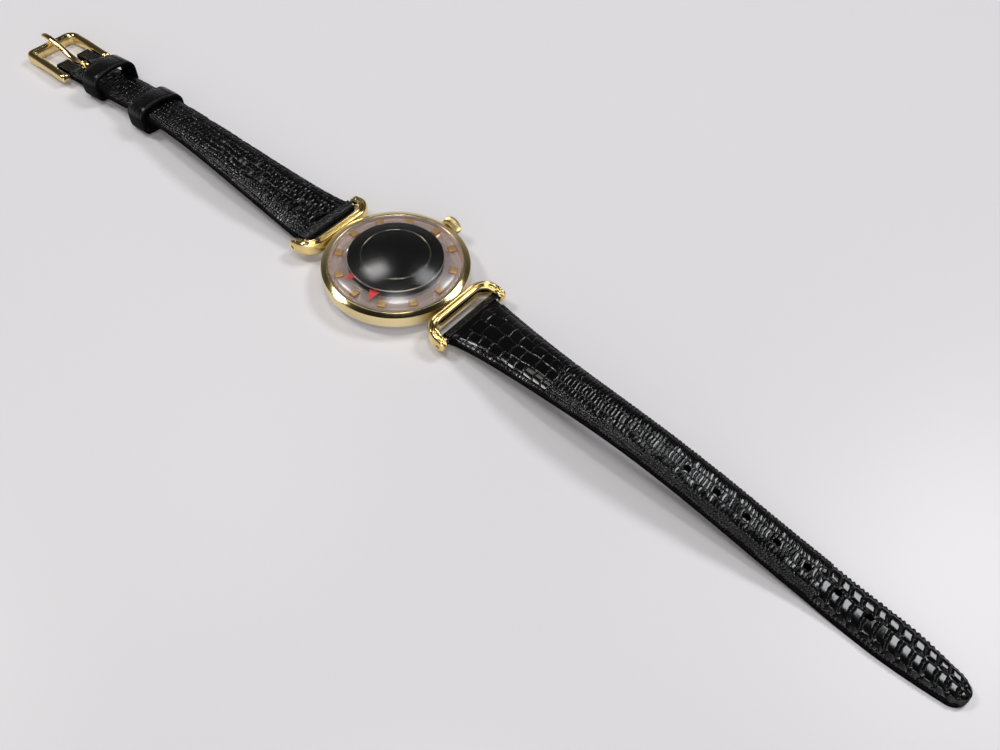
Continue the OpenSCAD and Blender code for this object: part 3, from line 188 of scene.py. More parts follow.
def plate_metal():
    """Movement plates: rows of straight graining with fine pits."""
    m, nt, _, links, b = material("brass_grained")
    b.inputs["Metallic"].default_value = 1.0
    w = node(nt, "ShaderNodeTexWave", Scale=0.22, Distortion=0.3)
    w.wave_type = "BANDS"
    w.bands_direction = "DIAGONAL"
    links.new(coords(nt), w.inputs["Vector"])
    bands = w.outputs["Fac"]
    links.new(mix_colour(nt, bands, (0.78, 0.6, 0.33), (0.88, 0.74, 0.47)), b.inputs["Base Color"])
    links.new(spread(nt, bands, 0.2, 0.34), b.inputs["Roughness"])
    bump(nt, noise(nt, coords(nt, (8, 1, 1)), 2.0, 3), 0.3, 0.00001, b)
    return m


brass = plate_metal()


def gloss(name, colour, rough, coat=0.0, speck=0.0):
    """Lacquer, enamel, stone or rubber: even colour with faint clouds, and a coat where it has one."""
    m, nt, _, links, b = material(name)
    v = coords(nt)
    n = noise(nt, v, 1.5, 4)
    lighter = tuple(min(1, c * 1.25 + speck) for c in colour)
    links.new(mix_colour(nt, n, colour, lighter), b.inputs["Base Color"])
    links.new(spread(nt, n, rough, rough + 0.04), b.inputs["Roughness"])
    b.inputs["Coat Weight"].default_value = coat
    b.inputs["Coat Roughness"].default_value = 0.05
    bump(nt, noise(nt, v, 6.0, 2), 0.04, 0.00001, b)
    return m


black_gloss = gloss("black_lacquer", (0.002, 0.002, 0.0024), 0.105)
red = gloss("red_enamel", (0.72, 0.06, 0.055), 0.18, coat=0.4, speck=0.02)
ruby = gloss("ruby", (0.55, 0.01, 0.07), 0.08, coat=0.3)
rubber = gloss("rubber", (0.012, 0.012, 0.012), 0.6)


def clear(name, tint, rough, ior=1.49, haze=0.0, haze_colour=(1, 1, 1)):
    """Thin clear wall: shadow rays pass, the surface keeps its Fresnel gloss, haze scatters a share."""
    m, nt, nodes, links, b = material(name)
    out = nodes["Material Output"]
    nodes.remove(b)
    tr = node(nt, "ShaderNodeBsdfTransparent", Color=(*tint, 1))
    gl = node(nt, "ShaderNodeBsdfGlossy", Roughness=rough)
    links.new(spread(nt, noise(nt, coords(nt), 0.8, 3), rough, rough + 0.03), gl.inputs["Roughness"])
    fr = node(nt, "ShaderNodeFresnel")
    geo = node(nt, "ShaderNodeNewGeometry")
    links.new(spread(nt, geo.outputs["Backfacing"], ior, 1 / ior), fr.inputs["IOR"])
    body = tr
    if haze:
        df = node(nt, "ShaderNodeBsdfDiffuse", Color=(*haze_colour, 1))
        body = node(nt, "ShaderNodeMixShader", Fac=haze)
        links.new(tr.outputs["BSDF"], body.inputs[1])
        links.new(df.outputs["BSDF"], body.inputs[2])
    mx = node(nt, "ShaderNodeMixShader")
    links.new(fr.outputs["Fac"], mx.inputs["Fac"])
    links.new(body.outputs[0], mx.inputs[1])
    links.new(gl.outputs["BSDF"], mx.inputs[2])
    lp = node(nt, "ShaderNodeLightPath")
    sh = node(nt, "ShaderNodeMixShader")
    links.new(lp.outputs["Is Shadow Ray"], sh.inputs["Fac"])
    links.new(mx.outputs["Shader"], sh.inputs[1])
    links.new(tr.outputs["BSDF"], sh.inputs[2])
    links.new(sh.outputs["Shader"], out.inputs["Surface"])
    return m


crystal_mat = clear("crystal_clear", (0.995, 0.995, 0.995), 0.17)
# The dial plate's peach tint and haze colour are painted reflection, standing in for the warm glow of the
# gold wall, blocks and hands seen in it.
plate_clear_painted_glow = clear("dial_clear_painted_glow", (0.99, 0.95, 0.93), 0.08, haze=0.2, haze_colour=(1.0, 0.84, 0.77))
back_clear = clear("back_clear", (0.99, 0.99, 0.99), 0.06, ior=1.5)


def leather(name, colour, rough, spec, scale, strength, depth=0.00004, crease=None):
    """Glazed leather: pores and creases in the bump; on the upright sides the glaze turns dull and rough,
    partly a matte edge and partly painted shade.
    """
    upright, level = 0.1, 0.6  # the normal's Z, between which the dull sides (matte edge and painted shade) turn into the glazed top
    matte_and_shade_rough, matte_and_shade_share = 0.25, 0.04
    m, nt, _, links, b = material(name)
    v = coords(nt)
    clouds = noise(nt, v, scale, 6, 0.6)
    vor = node(nt, "ShaderNodeTexVoronoi", Scale=scale * 1.3)
    vor.feature = "DISTANCE_TO_EDGE"
    links.new(v, vor.inputs["Vector"])
    pores = node(nt, "ShaderNodeMath", operation="MULTIPLY_ADD")
    pores.inputs[1].default_value = 0.5
    links.new(vor.outputs["Distance"], pores.inputs[0])
    links.new(clouds, pores.inputs[2])
    lighter = tuple(c * 2.2 + 0.002 for c in colour)
    links.new(mix_colour(nt, clouds, colour, lighter), b.inputs["Base Color"])
    facing = nt.nodes.new("ShaderNodeSeparateXYZ")
    links.new(node(nt, "ShaderNodeNewGeometry").outputs["Normal"], facing.inputs[0])
    up = facing.outputs["Z"]
    uneven = node(nt, "ShaderNodeMath", operation="ADD")
    links.new(spread(nt, noise(nt, v, 1.1, 4), rough - 0.03, rough + 0.05), uneven.inputs[0])
    links.new(spread(nt, up, matte_and_shade_rough, 0.0, upright, level, "SMOOTHSTEP"), uneven.inputs[1])
    links.new(uneven.outputs["Value"], b.inputs["Roughness"])
    # Upright faces lose most of their gloss: partly a matte edge, partly painted shade that keeps them as
    # dark as if they reflected only the shadow beside the strap.
    glaze = spread(nt, up, spec * matte_and_shade_share, spec, upright, level, "SMOOTHSTEP")
    links.new(glaze, b.inputs["Specular IOR Level"])
    grain = bump(nt, pores.outputs["Value"], strength, depth, b)
    if crease:
        bump(nt, noise(nt, coords(nt, crease), 1.0, 4, 0.6), 0.6, 0.00008, grain)
    return m


BLACK_HIDE = (0.001, 0.001, 0.0012)
hide = leather("leather_black", BLACK_HIDE, rough=0.1, spec=0.34, scale=2.6, strength=0.12)
hide_smooth = leather("leather_keeper", BLACK_HIDE, rough=0.12, spec=0.36, scale=1.3, strength=0.7,
                      depth=0.00009, crease=(0.3, 2.4, 2.4))
hide_fold = leather("leather_fold", BLACK_HIDE, rough=0.1, spec=0.36, scale=1.4, strength=1.0, depth=0.0002)
hide_edge = leather("leather_edge", (0.002, 0.002, 0.0024), rough=0.34, spec=0.16, scale=5.0, strength=0.4)
hide_lining = leather("leather_lining", (0.05, 0.042, 0.036), rough=0.62, spec=0.3, scale=4.0, strength=0.7)


# ---------------- mesh helpers
WELD = 1e-7  # metres


def new_object(name, verts, faces, mats, index=None, smooth=True):
    me = bpy.data.meshes.new(name)
    points = [tuple(np.asarray(v, float) * MM) for v in verts]
    me.from_pydata(points, [], [tuple(int(i) for i in f) for f in faces])
    for m in mats:
        me.materials.append(m)
    if index is not None:
        me.polygons.foreach_set("material_index", np.asarray(index, np.int32))
    me.polygons.foreach_set("use_smooth", [smooth] * len(me.polygons))
    me.update()
    obj = bpy.data.objects.new(name, me)
    bpy.context.scene.collection.objects.link(obj)
    return obj


def tidy(obj):
    """Weld double vertices and turn every face outward."""
    bm = bmesh.new()
    bm.from_mesh(obj.data)
    bmesh.ops.remove_doubles(bm, verts=bm.verts, dist=WELD)
    bmesh.ops.recalc_face_normals(bm, faces=bm.faces)
    bm.to_mesh(obj.data)
    bm.free()
    return obj


def weighted(obj):
    mod = obj.modifiers.new("weighted", "WEIGHTED_NORMAL")
    mod.keep_sharp = True
    mod.weight = 100
    return obj


def bevelled(obj):
    """A fine polished bevel on the sharp edges."""
    mod = obj.modifiers.new("edge", "BEVEL")
    mod.width = 0.03 * MM
    mod.segments = 2
    mod.limit_method = "ANGLE"
    return obj


def bake(obj):
    """Apply every modifier, so that only a plain mesh is left."""
    dg = bpy.context.evaluated_depsgraph_get()
    me = bpy.data.meshes.new_from_object(obj.evaluated_get(dg))
    old = obj.data
    obj.modifiers.clear()
    obj.data = me
    bpy.data.meshes.remove(old)
    return obj


def carve(obj, cutter):
    """Cut one object out of another, and delete the cutter."""
    mod = obj.modifiers.new("cut", "BOOLEAN")
    mod.operation = "DIFFERENCE"
    mod.solver = "EXACT"
    mod.object = cutter
    bpy.context.view_layer.update()
    bake(obj)
    bpy.data.objects.remove(cutter)
    return obj


def rounded(points, radii, seg=4):
    """Fillet the corners of a closed outline."""
    pts = [np.array(p, float) for p in points]
    out = []
    n = len(pts)
    for i in range(n):
        p, a, b = pts[i], pts[i - 1], pts[(i + 1) % n]
        r = radii if np.isscalar(radii) else radii[i]
        u, w = a - p, b - p
        lu, lw = np.linalg.norm(u), np.linalg.norm(w)
        u, w = u / lu, w / lw
        half = math.acos(float(np.clip(u @ w, -1, 1))) / 2
        if r <= 0 or half > math.radians(88):
            out.append(p)
            continue
        t = min(r / math.tan(half), 0.45 * lu, 0.45 * lw)
        rr = t * math.tan(half)
        c = p + (u + w) / np.linalg.norm(u + w) * rr / math.sin(half)
        s, e = p + u * t - c, p + w * t - c
        ang = math.acos(float(np.clip(s @ e / (rr * rr), -1, 1)))
        for k in range(seg + 1):
            f = k / seg
            q = (math.sin((1 - f) * ang) * s + math.sin(f * ang) * e) / max(math.sin(ang), 1e-9)
            out.append(c + q)
    return out


def lathe(name, outline, mats, pick=None, n=192, radii=0.04, axis="z"):
    """Turn a closed outline (radius, height), its corners rounded. pick(r, z) chooses a material."""
    prof = [np.array(p, float) for p in outline] if radii is None else rounded(outline, radii)
    prof = [p for i, p in enumerate(prof) if np.linalg.norm(p - prof[i - 1]) > 1e-6]
    m = len(prof)
    verts, faces, index = [], [], []
    for j in range(n):
        a = 2 * math.pi * j / n
        for r, z in prof:
            verts.append((r * math.cos(a), r * math.sin(a), z))
    for j in range(n):
        k = (j + 1) % n
        for i in range(m):
            nxt = (i + 1) % m
            if prof[i][0] < 1e-6 and prof[nxt][0] < 1e-6:
                continue
            faces.append((j * m + i, k * m + i, k * m + nxt, j * m + nxt))
            if pick:
                r, z = (prof[i] + prof[nxt]) / 2
                index.append(pick(r, z))
    verts = np.array(verts)
    if axis == "y":
        verts = verts[:, [0, 2, 1]]
    return weighted(tidy(new_object(name, verts, faces, mats, index if pick else None)))


def sweep(name, path, frames, section, mats, closed=False, index=None):
    """Carry a section along a path. section(i) gives (across, up) points; frames(i) both directions."""
    verts, faces, idx = [], [], []
    n = len(path)
    rings = [section(i) for i in range(n)]
    m = len(rings[0])
    for i in range(n):
        a, u = frames(i)
        for x, y in rings[i]:
            verts.append(np.array(path[i], float) + np.array(a) * x + np.array(u) * y)
    for i in range(n if closed else n - 1):
        k = (i + 1) % n
        for j in range(m):
            nxt = (j + 1) % m
            faces.append((i * m + j, i * m + nxt, k * m + nxt, k * m + j))
            idx.append(index(i, j) if index else 0)
    if not closed:
        faces.append(tuple(range(m)))
        faces.append(tuple((n - 1) * m + j for j in reversed(range(m))))
        idx += [0, 0]
    return tidy(new_object(name, verts, faces, mats, idx))


def superellipse(w, h, power, n, mid=0.0):
    out = []
    for k in range(n):
        t = 2 * math.pi * k / n
        c, s = math.cos(t), math.sin(t)
        out.append((w / 2 * math.copysign(abs(c) ** (2 / power), c),
                    mid + h / 2 * math.copysign(abs(s) ** (2 / power), s)))
    return out


def dress(obj, body, slot, *replaced):
    """Put a piece on its body, in place of the CAD nodes it replaces; slot is not used."""
    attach(obj, body)
    if replaced:
        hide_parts(*replaced)
    return obj


def turned(name, slot, cad, outline, mats, radii=0.04, n=200, pick=None):
    """A turned piece of the case."""
    dress(lathe(name, outline, mats, pick, n, radii), "case", slot, cad)


def bend(path, across, cx, cy, r, angles):
    """Carry a path round a bend; angles in degrees."""
    for a in map(math.radians, angles):
        path.append((cx + r * math.cos(a), cy + r * math.sin(a)))
        across.append((math.cos(a), math.sin(a)))


def drill(x, y, z, rotation, r, length, mat, n):
    """A cylinder to cut with; mat is what the cut shows."""
    bpy.ops.mesh.primitive_cylinder_add(vertices=n, radius=r * MM, depth=length * MM,
                                        location=(x * MM, y * MM, z * MM), rotation=rotation)
    obj = bpy.context.object
    obj.data.materials.append(mat)
    return obj


# ---------------- sizes repeated from the CAD
CASE_R, BACK_H, BEVEL_Z, LIP_Z, STEM_Z = 15.0, 1.9, 4.45, 4.9, 2.8
LIP_R, GLASS_R, LEDGE_R = 13.95, 13.5, 13.0
LEDGE_Z, DIAL_Z = 4.05, 4.65
COVER_R, COVER_RISE, COVER_T, COVER_Z = 9.7, 1.25, 0.35, 6.456
COVER_BALL = (COVER_R ** 2 + COVER_RISE ** 2) / (2 * COVER_RISE)
BALL_Z = COVER_Z + COVER_RISE - COVER_BALL
GLASS_IN, GLASS_OUT, GLASS_T = COVER_BALL + 0.03, COVER_BALL + 0.83, 0.8
GILT_R = 6.93
CAN_IN, CAN_OUT, FLANGE_R = 8.8, 9.2, 9.65
PIN_X, PIN_Z = 20.0, 2.6
LONG_L, SHORT_L, TIP_L = 108.0, 81.5, 16.0
NOSE_LOW, STRAP_W, LONG_W, SHORT_W = 1.35, 14.2, 8.6, 8.8
STRAP_T, TAIL_T, EDGE_T = 2.5, 1.9, 1.1
HOLES, HOLE_FIRST, HOLE_PITCH, HOLE_R = 7, 52.3, 6.2, 0.75
SLOT_W, SLOT_L = 2.5, 3.4
BUCKLE_X, BUCKLE_Y, BUCKLE_Z = 101.5, -0.6, 1.9
BUCKLE_IN, BUCKLE_T, BUCKLE_L = 9.8, 1.95, 14.2
BAR_LOOP_R = 0.6


# ---------------- case
def case_shell():
    def face(r, z):
        """Satin side, lip, inner wall in a darker rose gold as painted shade and warm reflection, and polish
        elsewhere.
        """
        if r > CASE_R - 0.05 and BACK_H + 0.16 < z < BEVEL_Z - 0.03:
            return 1
        if z > LIP_Z - 0.06 and r < LIP_R + 0.04:
            return 2
        return 3 if r < GLASS_R + 0.02 else 0

    turned("case_ring_finished", "polished_gold", "case_ring",
           [(LEDGE_R, BACK_H), (CASE_R - 0.15, BACK_H), (CASE_R, BACK_H + 0.15), (CASE_R, BEVEL_Z),
            (LIP_R, LIP_Z), (GLASS_R, LIP_Z), (GLASS_R, LEDGE_Z), (LEDGE_R, LEDGE_Z)],
           [gold, gold_satin, gold_lip, gold_wall_painted_shade], [0, 0.03, 0.03, 0.025, 0.2, 0.2, 0.02, 0.03], 240, face)
    turned("case_back_finished", "polished_steel", "case_back",
           [(11.8, 0), (13.6, 0), (14.2, 0.45), (14.75, BACK_H), (12.99, BACK_H), (12.99, 2.4),
            (12.65, 2.4), (12.65, 1.05), (12.4, 1.05), (12.4, 0.4), (11.8, 0.4)],
           [steel], [0.03, 0.12, 0.1, 0.04, 0.02, 0.04, 0.04, 0.02, 0.03, 0.02, 0.03])
    turned("back_window", "clear_glass", "back_crystal",
           [(0, 0), (11.79, 0), (11.79, 0.4), (12.39, 0.4), (12.39, 0.9), (0, 0.9)],
           [back_clear], [0, 0.03, 0.02, 0.03, 0.03, 0], 160)


def ball_height(ball, r):
    """Height at radius r of a sphere of radius ball, on the centre that cover and crystal share."""
    return BALL_Z + math.sqrt(ball * ball - r * r)


def arc(ball, r0, r1, n):
    return [(r, ball_height(ball, r)) for r in np.linspace(r0, r1, n)]


def crystal_and_dial():
    rim, wall_in = GLASS_R - 0.01, GLASS_R - GLASS_T
    z_edge = ball_height(GLASS_OUT, rim)
    shoulder = [(rim - 0.35 + 0.35 * math.sin(t), z_edge - 0.31 + 0.37 * math.cos(t))
                for t in np.linspace(0.25, 1.57, 6)]
    wall = [(rim, DIAL_Z + 0.06), (rim - 0.05, DIAL_Z), (wall_in + 0.04, DIAL_Z), (wall_in, DIAL_Z + 0.05)]
    z_in = ball_height(GLASS_IN, wall_in - 0.25)
    inner = [(wall_in, z_in - 0.25), (wall_in - 0.08, z_in - 0.08)] + arc(GLASS_IN, wall_in - 0.25, 0, 26)
    turned("crystal_dome", "clear_glass", "crystal",
           arc(GLASS_OUT, 0, rim - 0.35, 26) + shoulder + wall + inner, [crystal_mat], None)
    turned("dial_plate_clear", "clear_glass", "dial_ring",
           [(9.25, LEDGE_Z), (13.49, LEDGE_Z), (13.49, DIAL_Z), (9.25, DIAL_Z)], [plate_clear_painted_glow])


def cover_and_can():
    """Black cover with a bright edge, its gilt ring, and the can of the movement with its lid."""
    z_r = ball_height(COVER_BALL, COVER_R)
    edge = [(COVER_R - 0.04, z_r + 0.005), (COVER_R, z_r - 0.05), (COVER_R, z_r - 0.3),
            (COVER_R - 0.05, z_r - COVER_T), (COVER_R - COVER_T, z_r - COVER_T)]
    under = arc(COVER_BALL - COVER_T, COVER_R - COVER_T - 0.02, 0, 20)
    turned("cover_domed", "black_gloss", "cover_disc", arc(COVER_BALL, 0, COVER_R - 0.12, 30) + edge + under,
           [black_gloss, steel], None, 220, lambda r, z: 1 if r > COVER_R - 0.06 else 0)
    z_gilt = ball_height(COVER_BALL, GILT_R) - 0.055
    wire = [(GILT_R + 0.09 * math.cos(t), z_gilt + 0.075 * math.sin(t))
            for t in np.linspace(0, 2 * math.pi, 13)[:-1]]
    turned("cover_ring_gilt", "polished_gold", "cover_gilt_ring", wire, [gilt_grey], None)
    turned("movement_can_turned", "polished_steel", "movement_can",
           [(CAN_IN, 1.0), (CAN_OUT, 1.0), (CAN_OUT, 3.8), (FLANGE_R, 3.8), (FLANGE_R, LEDGE_Z),
            (CAN_OUT, LEDGE_Z), (CAN_OUT, DIAL_Z), (CAN_IN, DIAL_Z)], [steel], 0.05)
    # The lid is near black: painted shade on its edge beneath the cover.
    turned("can_lid_turned", "polished_steel", "can_lid",
           [(0.75, DIAL_Z), (9.6, DIAL_Z), (9.6, LIP_Z), (0.75, LIP_Z)], [steel_lid_shade], n=160)


def blocks():
    """Hour blocks: a flat top with polished chamfers; the sides and underside take a darker orange gold,
    painted shade.
    """
    size, height, chamfer = 1.55, 0.5, 0.12
    outer = GLASS_R - GLASS_T - 0.15
    verts, faces, idx = [], [], []
    for k in range(12):
        a = math.radians(30 * k)
        ex, ey = np.array([math.cos(a), math.sin(a), 0]), np.array([-math.sin(a), math.cos(a), 0])
        base = len(verts)
        for inset, z in ((0, DIAL_Z), (0, DIAL_Z + height - chamfer), (chamfer, DIAL_Z + height)):
            u0, u1, v1 = outer - size + inset, outer - inset, size / 2 - inset
            for u, v in ((u0, -v1), (u1, -v1), (u1, v1), (u0, v1)):
                verts.append(ex * u + ey * v + np.array([0, 0, z]))
        for low in (base, base + 4):
            for j in range(4):
                n = (j + 1) % 4
                faces.append((low + j, low + n, low + 4 + n, low + 4 + j))
                idx.append(1 if low == base else 0)
        faces.append(tuple(base + 8 + j for j in range(4)))
        faces.append(tuple(base + j for j in (3, 2, 1, 0)))
        idx += [0, 1]
    obj = tidy(new_object("hour_blocks_cut", verts, faces, [gold_block, gold_painted_shade], idx, smooth=False))
    bake(bevelled(obj))
    dress(obj, "case", "polished_gold", "hour_blocks")


case_shell()
crystal_and_dial()
cover_and_can()
blocks()


# ---------------- lugs
def lug(side):
    """Stirrup: a ridged bar across the case, and two horns that taper to the drilled round ends."""
    name = "lug_6" if side > 0 else "lug_12"
    bar_x, horn_y, bend_r, end_r = 15.95, 8.6, 3.4, 1.3
    bar_low, bar_top, horn_low, horn_top = 1.5, 4.6, 1.3, 3.9
    fall_from, rise_from = 17.7, 13.8
    straight, cx = horn_y - bend_r, bar_x + bend_r
    path, across = [], []
    xs = np.concatenate([np.linspace(PIN_X + end_r - 0.001, PIN_X, 14), np.linspace(PIN_X, cx, 6)[1:]])
    for x in xs:
        path.append((x, -horn_y))
        across.append((0, -1))
    bend(path, across, cx, -straight, bend_r, -90 - np.linspace(0, 90, 16)[1:])
    half = len(path)
    for y in np.linspace(-straight, straight, 24)[1:-1]:
        path.append((bar_x, y))
        across.append((-1, 0))
    path += [(x, -y) for x, y in reversed(path[:half])]
    across += [(x, -y) for x, y in reversed(across[:half])]

    def heights(x):
        if x >= PIN_X:
            h = math.sqrt(max(0.0, end_r ** 2 - (x - PIN_X) ** 2))
            return PIN_Z - h, PIN_Z + h
        f = min(1.0, max(0.0, (x - fall_from) / (PIN_X - fall_from)))
        g = min(1.0, max(0.0, (x - rise_from) / (PIN_X - rise_from)))
        return bar_low * (1 - g ** 3) + horn_low * g ** 3, bar_top + (horn_top - bar_top) * f

    # double ridge: two round crests with a groove between, round flanks and a rounded foot
    top = [(0.0, 0.8), (0.12, 0.84), (0.24, 0.93), (0.38, 0.99), (0.56, 1.0), (0.74, 0.97), (0.9, 0.9),
           (1.02, 0.78), (1.09, 0.62), (1.1, 0.45), (1.08, 0.28), (1.0, 0.14), (0.85, 0.05), (0.6, 0.01),
           (0.3, 0.0)]
    outline = top + [(-x, z) for x, z in reversed(top[1:])]

    def section(i):
        lo, hi = heights(path[i][0])
        end = max(0.0, path[i][0] - PIN_X) / end_r
        k = math.sqrt(max(0.02, 1 - end ** 4))
        return [(x * k, lo + z * (hi - lo)) for x, z in outline]

    obj = sweep(name + "_ridged", [(x, y, 0.0) for x, y in path],
                lambda i: ((*across[i], 0.0), (0, 0, 1.0)), section, [gold])
    # The pin hole's wall is cut with the darker gold: painted shade.
    carve(obj, drill(PIN_X, 0, PIN_Z, (math.pi / 2, 0, 0), 0.45, 26, gold_painted_shade, 32))
    if side < 0:
        obj.data.transform(Matrix.Scale(-1, 4, (1, 0, 0)))
        obj.data.flip_normals()
    dress(weighted(obj), "case", "polished_gold", name)


lug(1)
lug(-1)


# ---------------- crown
def crown():
    # The floor of each flute takes the dark gold: painted shade in the grooves.
    flutes, steps, depth, inner_y = 26, 16, 0.3, 15.55
    shade_steps = 4  # of a flute's steps to each side of its floor
    n = flutes * steps
    # radius, height above inner_y, share of the flutes' depth
    prof = [(0.0, 1.4, 0), (1.35, 1.4, 0), (1.35, 0.0, 0), (1.75, 0.0, 0), (1.92, 0.06, 0.4), (2.1, 0.26, 1),
            (2.1, 0.7, 1), (2.1, 1.3, 1), (2.1, 1.75, 1), (2.02, 1.95, 0.7), (1.85, 2.06, 0.2),
            (1.6, 2.12, 0), (1.2, 2.16, 0), (0.7, 2.19, 0), (0.0, 2.2, 0)]
    m = len(prof)
    verts, faces, index = [], [], []
    for j in range(n):
        a = 2 * math.pi * j / n
        wave = 0.5 - 0.5 * math.cos(a * flutes)
        groove = (1 - wave) ** 1.6
        for r, y, share in prof:
            q = r - depth * share * groove
            verts.append((q * math.cos(a), inner_y + y, STEM_Z + q * math.sin(a)))
    for j in range(n):
        k = (j + 1) % n
        flute_shaded = min(j % steps, steps - 1 - j % steps) < shade_steps
        for i in range(m - 1):
            faces.append((j * m + i, j * m + i + 1, k * m + i + 1, k * m + i))
            index.append(1 if flute_shaded and 4 <= i <= 9 else 0)
    obj = weighted(tidy(new_object("crown_fluted", verts, faces, [gold, gold_flute_shade], index)))
    dress(obj, "crown_and_stem", "polished_gold", "crown")


crown()


# ---------------- straps: centre lines and widths
LONG_ARCH, SHORT_ARCH, TOUCH = 6.6, 5.3, 90
SWING, SWING_S, TIP_BEND, BEND_FROM = 4.4, 20.8, 2.1, 78
TIP_TAPER, TIP_ROUND = 0.38, 3


def bern(u, a, b, c, d=0.0, e=0.0):
    v = 1 - u
    return a * v ** 4 + 4 * b * u * v ** 3 + 6 * c * u ** 2 * v ** 2 + 4 * d * u ** 3 * v + e * u ** 4


def long_low(s):
    arch = bern(np.minimum(s, TOUCH) / TOUCH, NOSE_LOW, 0.906 * LONG_ARCH, 1.924 * LONG_ARCH)
    return np.where(s >= TOUCH, 0.0, arch)


def long_mid(s):
    swing = -SWING * (1 - np.exp(-((np.maximum(s, 0) / SWING_S) ** 1.66)))
    return swing - TIP_BEND * (np.maximum(0, s - BEND_FROM) / (LONG_L - BEND_FROM)) ** 1.3


def long_width(s):
    return LONG_W + (STRAP_W - LONG_W) * np.maximum(0, 1 - s / 50) ** 2.4


def tip_share(s):
    narrow = 1 - TIP_TAPER * (np.maximum(0, s - LONG_L + TIP_L) / TIP_L) ** 1.6
    return narrow * np.sqrt(np.maximum(0, 1 - (np.maximum(0, s - LONG_L + TIP_ROUND) / TIP_ROUND) ** 2.5))


def thick(s, length):
    return TAIL_T + (STRAP_T - TAIL_T) * np.maximum(0, 1 - s / (0.5 * length)) ** 0.8


def short_low(s):
    return bern(s / SHORT_L, NOSE_LOW, 0.95 * SHORT_ARCH, 1.75 * SHORT_ARCH, 0.9, 0.9)


def short_mid(s):
    u = s / SHORT_L
    return -0.9 * np.sin(math.pi * u) - 0.75 * np.sin(2 * math.pi * u) - 0.6 * u ** 2


def short_width(s):
    return SHORT_W + (STRAP_W - SHORT_W) * np.maximum(0, 1 - s / 50) ** 1.7


def smooth(x):
    x = np.clip(x, 0, 1)
    return x * x * (3 - 2 * x)


# ---------------- straps: embossing
ZONE = {"slant": 0.05, "bow": 0.2, "jitter": 0.15, "bead": 0.8, "power": 0.8, "tilt": 0.1, "ragged": 1.0,
        "ends": 1.0}


def zone(start, end, lanes, pitch, **values):
    """One stretch of scales.

    lanes: edges of the lanes, as shares of the half width; pitch: each lane's pitch at start and end
    relief: height of a scale; soft: width of its rounded border; ends: share of soft along the lane edges
    slant, bow: lean and curve of the rows; jitter: unevenness of the pitch; power: roundness of the border
    bead: share of the relief in the outermost lanes; tilt: random lean of each scale's top
    ragged: how far the zone's two ends wander
    """
    return {"from": start, "to": end, "lanes": lanes, "pitch": pitch, **ZONE, **values}


class Scales:
    """Embossed reptile scales: zones along the strap, each with lanes across it and cells along each."""

    def __init__(self, zones, seed):
        self.zones = zones
        r = np.random.default_rng(seed)
        self.cuts = []
        for z in zones:
            lanes = []
            for a, b in z["pitch"]:
                at, x = [], z["from"] - 6 - r.uniform(0, a)
                while x < z["to"] + 6:
                    at.append(x)
                    f = min(1.0, max(0.0, (x - z["from"]) / (z["to"] - z["from"])))
                    x += (a + (b - a) * f) * r.uniform(1 - z["jitter"], 1 + z["jitter"])
                lanes.append((np.array(at), r.uniform(-1, 1, len(at) + 2), r.uniform(-1, 1, len(at) + 2)))
            self.cuts.append(lanes)
        self.phase = r.uniform(0, 6.28, 8)

    def height(self, s, v, half):
        """Relief at arrays of station s, share v of the half width, and half width."""
        total = np.zeros_like(s)
        shift = 0.9 * np.sin(v * 4.1 + self.phase[0]) + 0.5 * np.sin(v * 9.0 + self.phase[1])
        for z, lanes in zip(self.zones, self.cuts):
            at_zone = s + shift * z["ragged"]
            inside = (at_zone >= z["from"]) & (at_zone < z["to"])
            if inside.any():
                total[inside] = self.zone_height(z, lanes, s[inside], v[inside], half[inside])
        return total

    def zone_height(self, z, lanes, s, v, half):
        # the lanes wander, less so near the strap's edges
        wander = 0.03 * np.sin(s * 0.6 + self.phase[2]) + 0.012 * np.sin(s * 1.7 + self.phase[3])
        v = v + wander * np.where(np.abs(v) < 0.7, 1, 0.45)
        edges = np.array(z["lanes"])
        lane = np.clip(np.searchsorted(edges, v) - 1, 0, len(edges) - 2)
        lo, up = edges[lane], edges[lane + 1]
        to_lane_edge = np.minimum(v - lo, up - v) * half
        mid = ((v - lo) / (up - lo)) * 2 - 1
        out = np.zeros_like(s)
        for k, (at, ran, lean) in enumerate(lanes):
            sel = lane == k
            if not sel.any():
                continue
            bead = k in (0, len(lanes) - 1)
            q = s[sel] + z["slant"] * v[sel] * half[sel] + z["bow"] * (1 - mid[sel] ** 2) * (0 if bead else 1)
            q = q + 0.04 * np.sin(v[sel] * 19 + s[sel] * 1.3)
            c = np.clip(np.searchsorted(at, q) - 1, 0, len(at) - 2)
            to_cut = np.minimum(q - at[c], at[c + 1] - q)
            # corners are rounded by joining the two distances smoothly; a lane with one cut stays flat
            soft = np.maximum(np.minimum(z["soft"], 0.5 * (at[c + 1] - at[c])), 1e-9)
            a = np.clip(to_cut / soft, 0, 1)
            b = np.clip(np.maximum(to_lane_edge[sel], 0) / (z["soft"] * z["ends"]), 0, 1)
            edge = np.clip(1 - np.sqrt((1 - a) ** 2 + (1 - b) ** 2), 0, 1)
            dome = np.sin(0.5 * math.pi * edge) ** z["power"]
            relief = z["relief"] * (z["bead"] if bead else 1) * (1 + 0.15 * ran[c])
            along = (q - 0.5 * (at[c] + at[c + 1])) * lean[c]
            aside = mid[sel] * 0.5 * (up - lo)[sel] * half[sel] * ran[c + 1]
            out[sel] = dome * (relief + z["tilt"] * (along + aside))
        return out


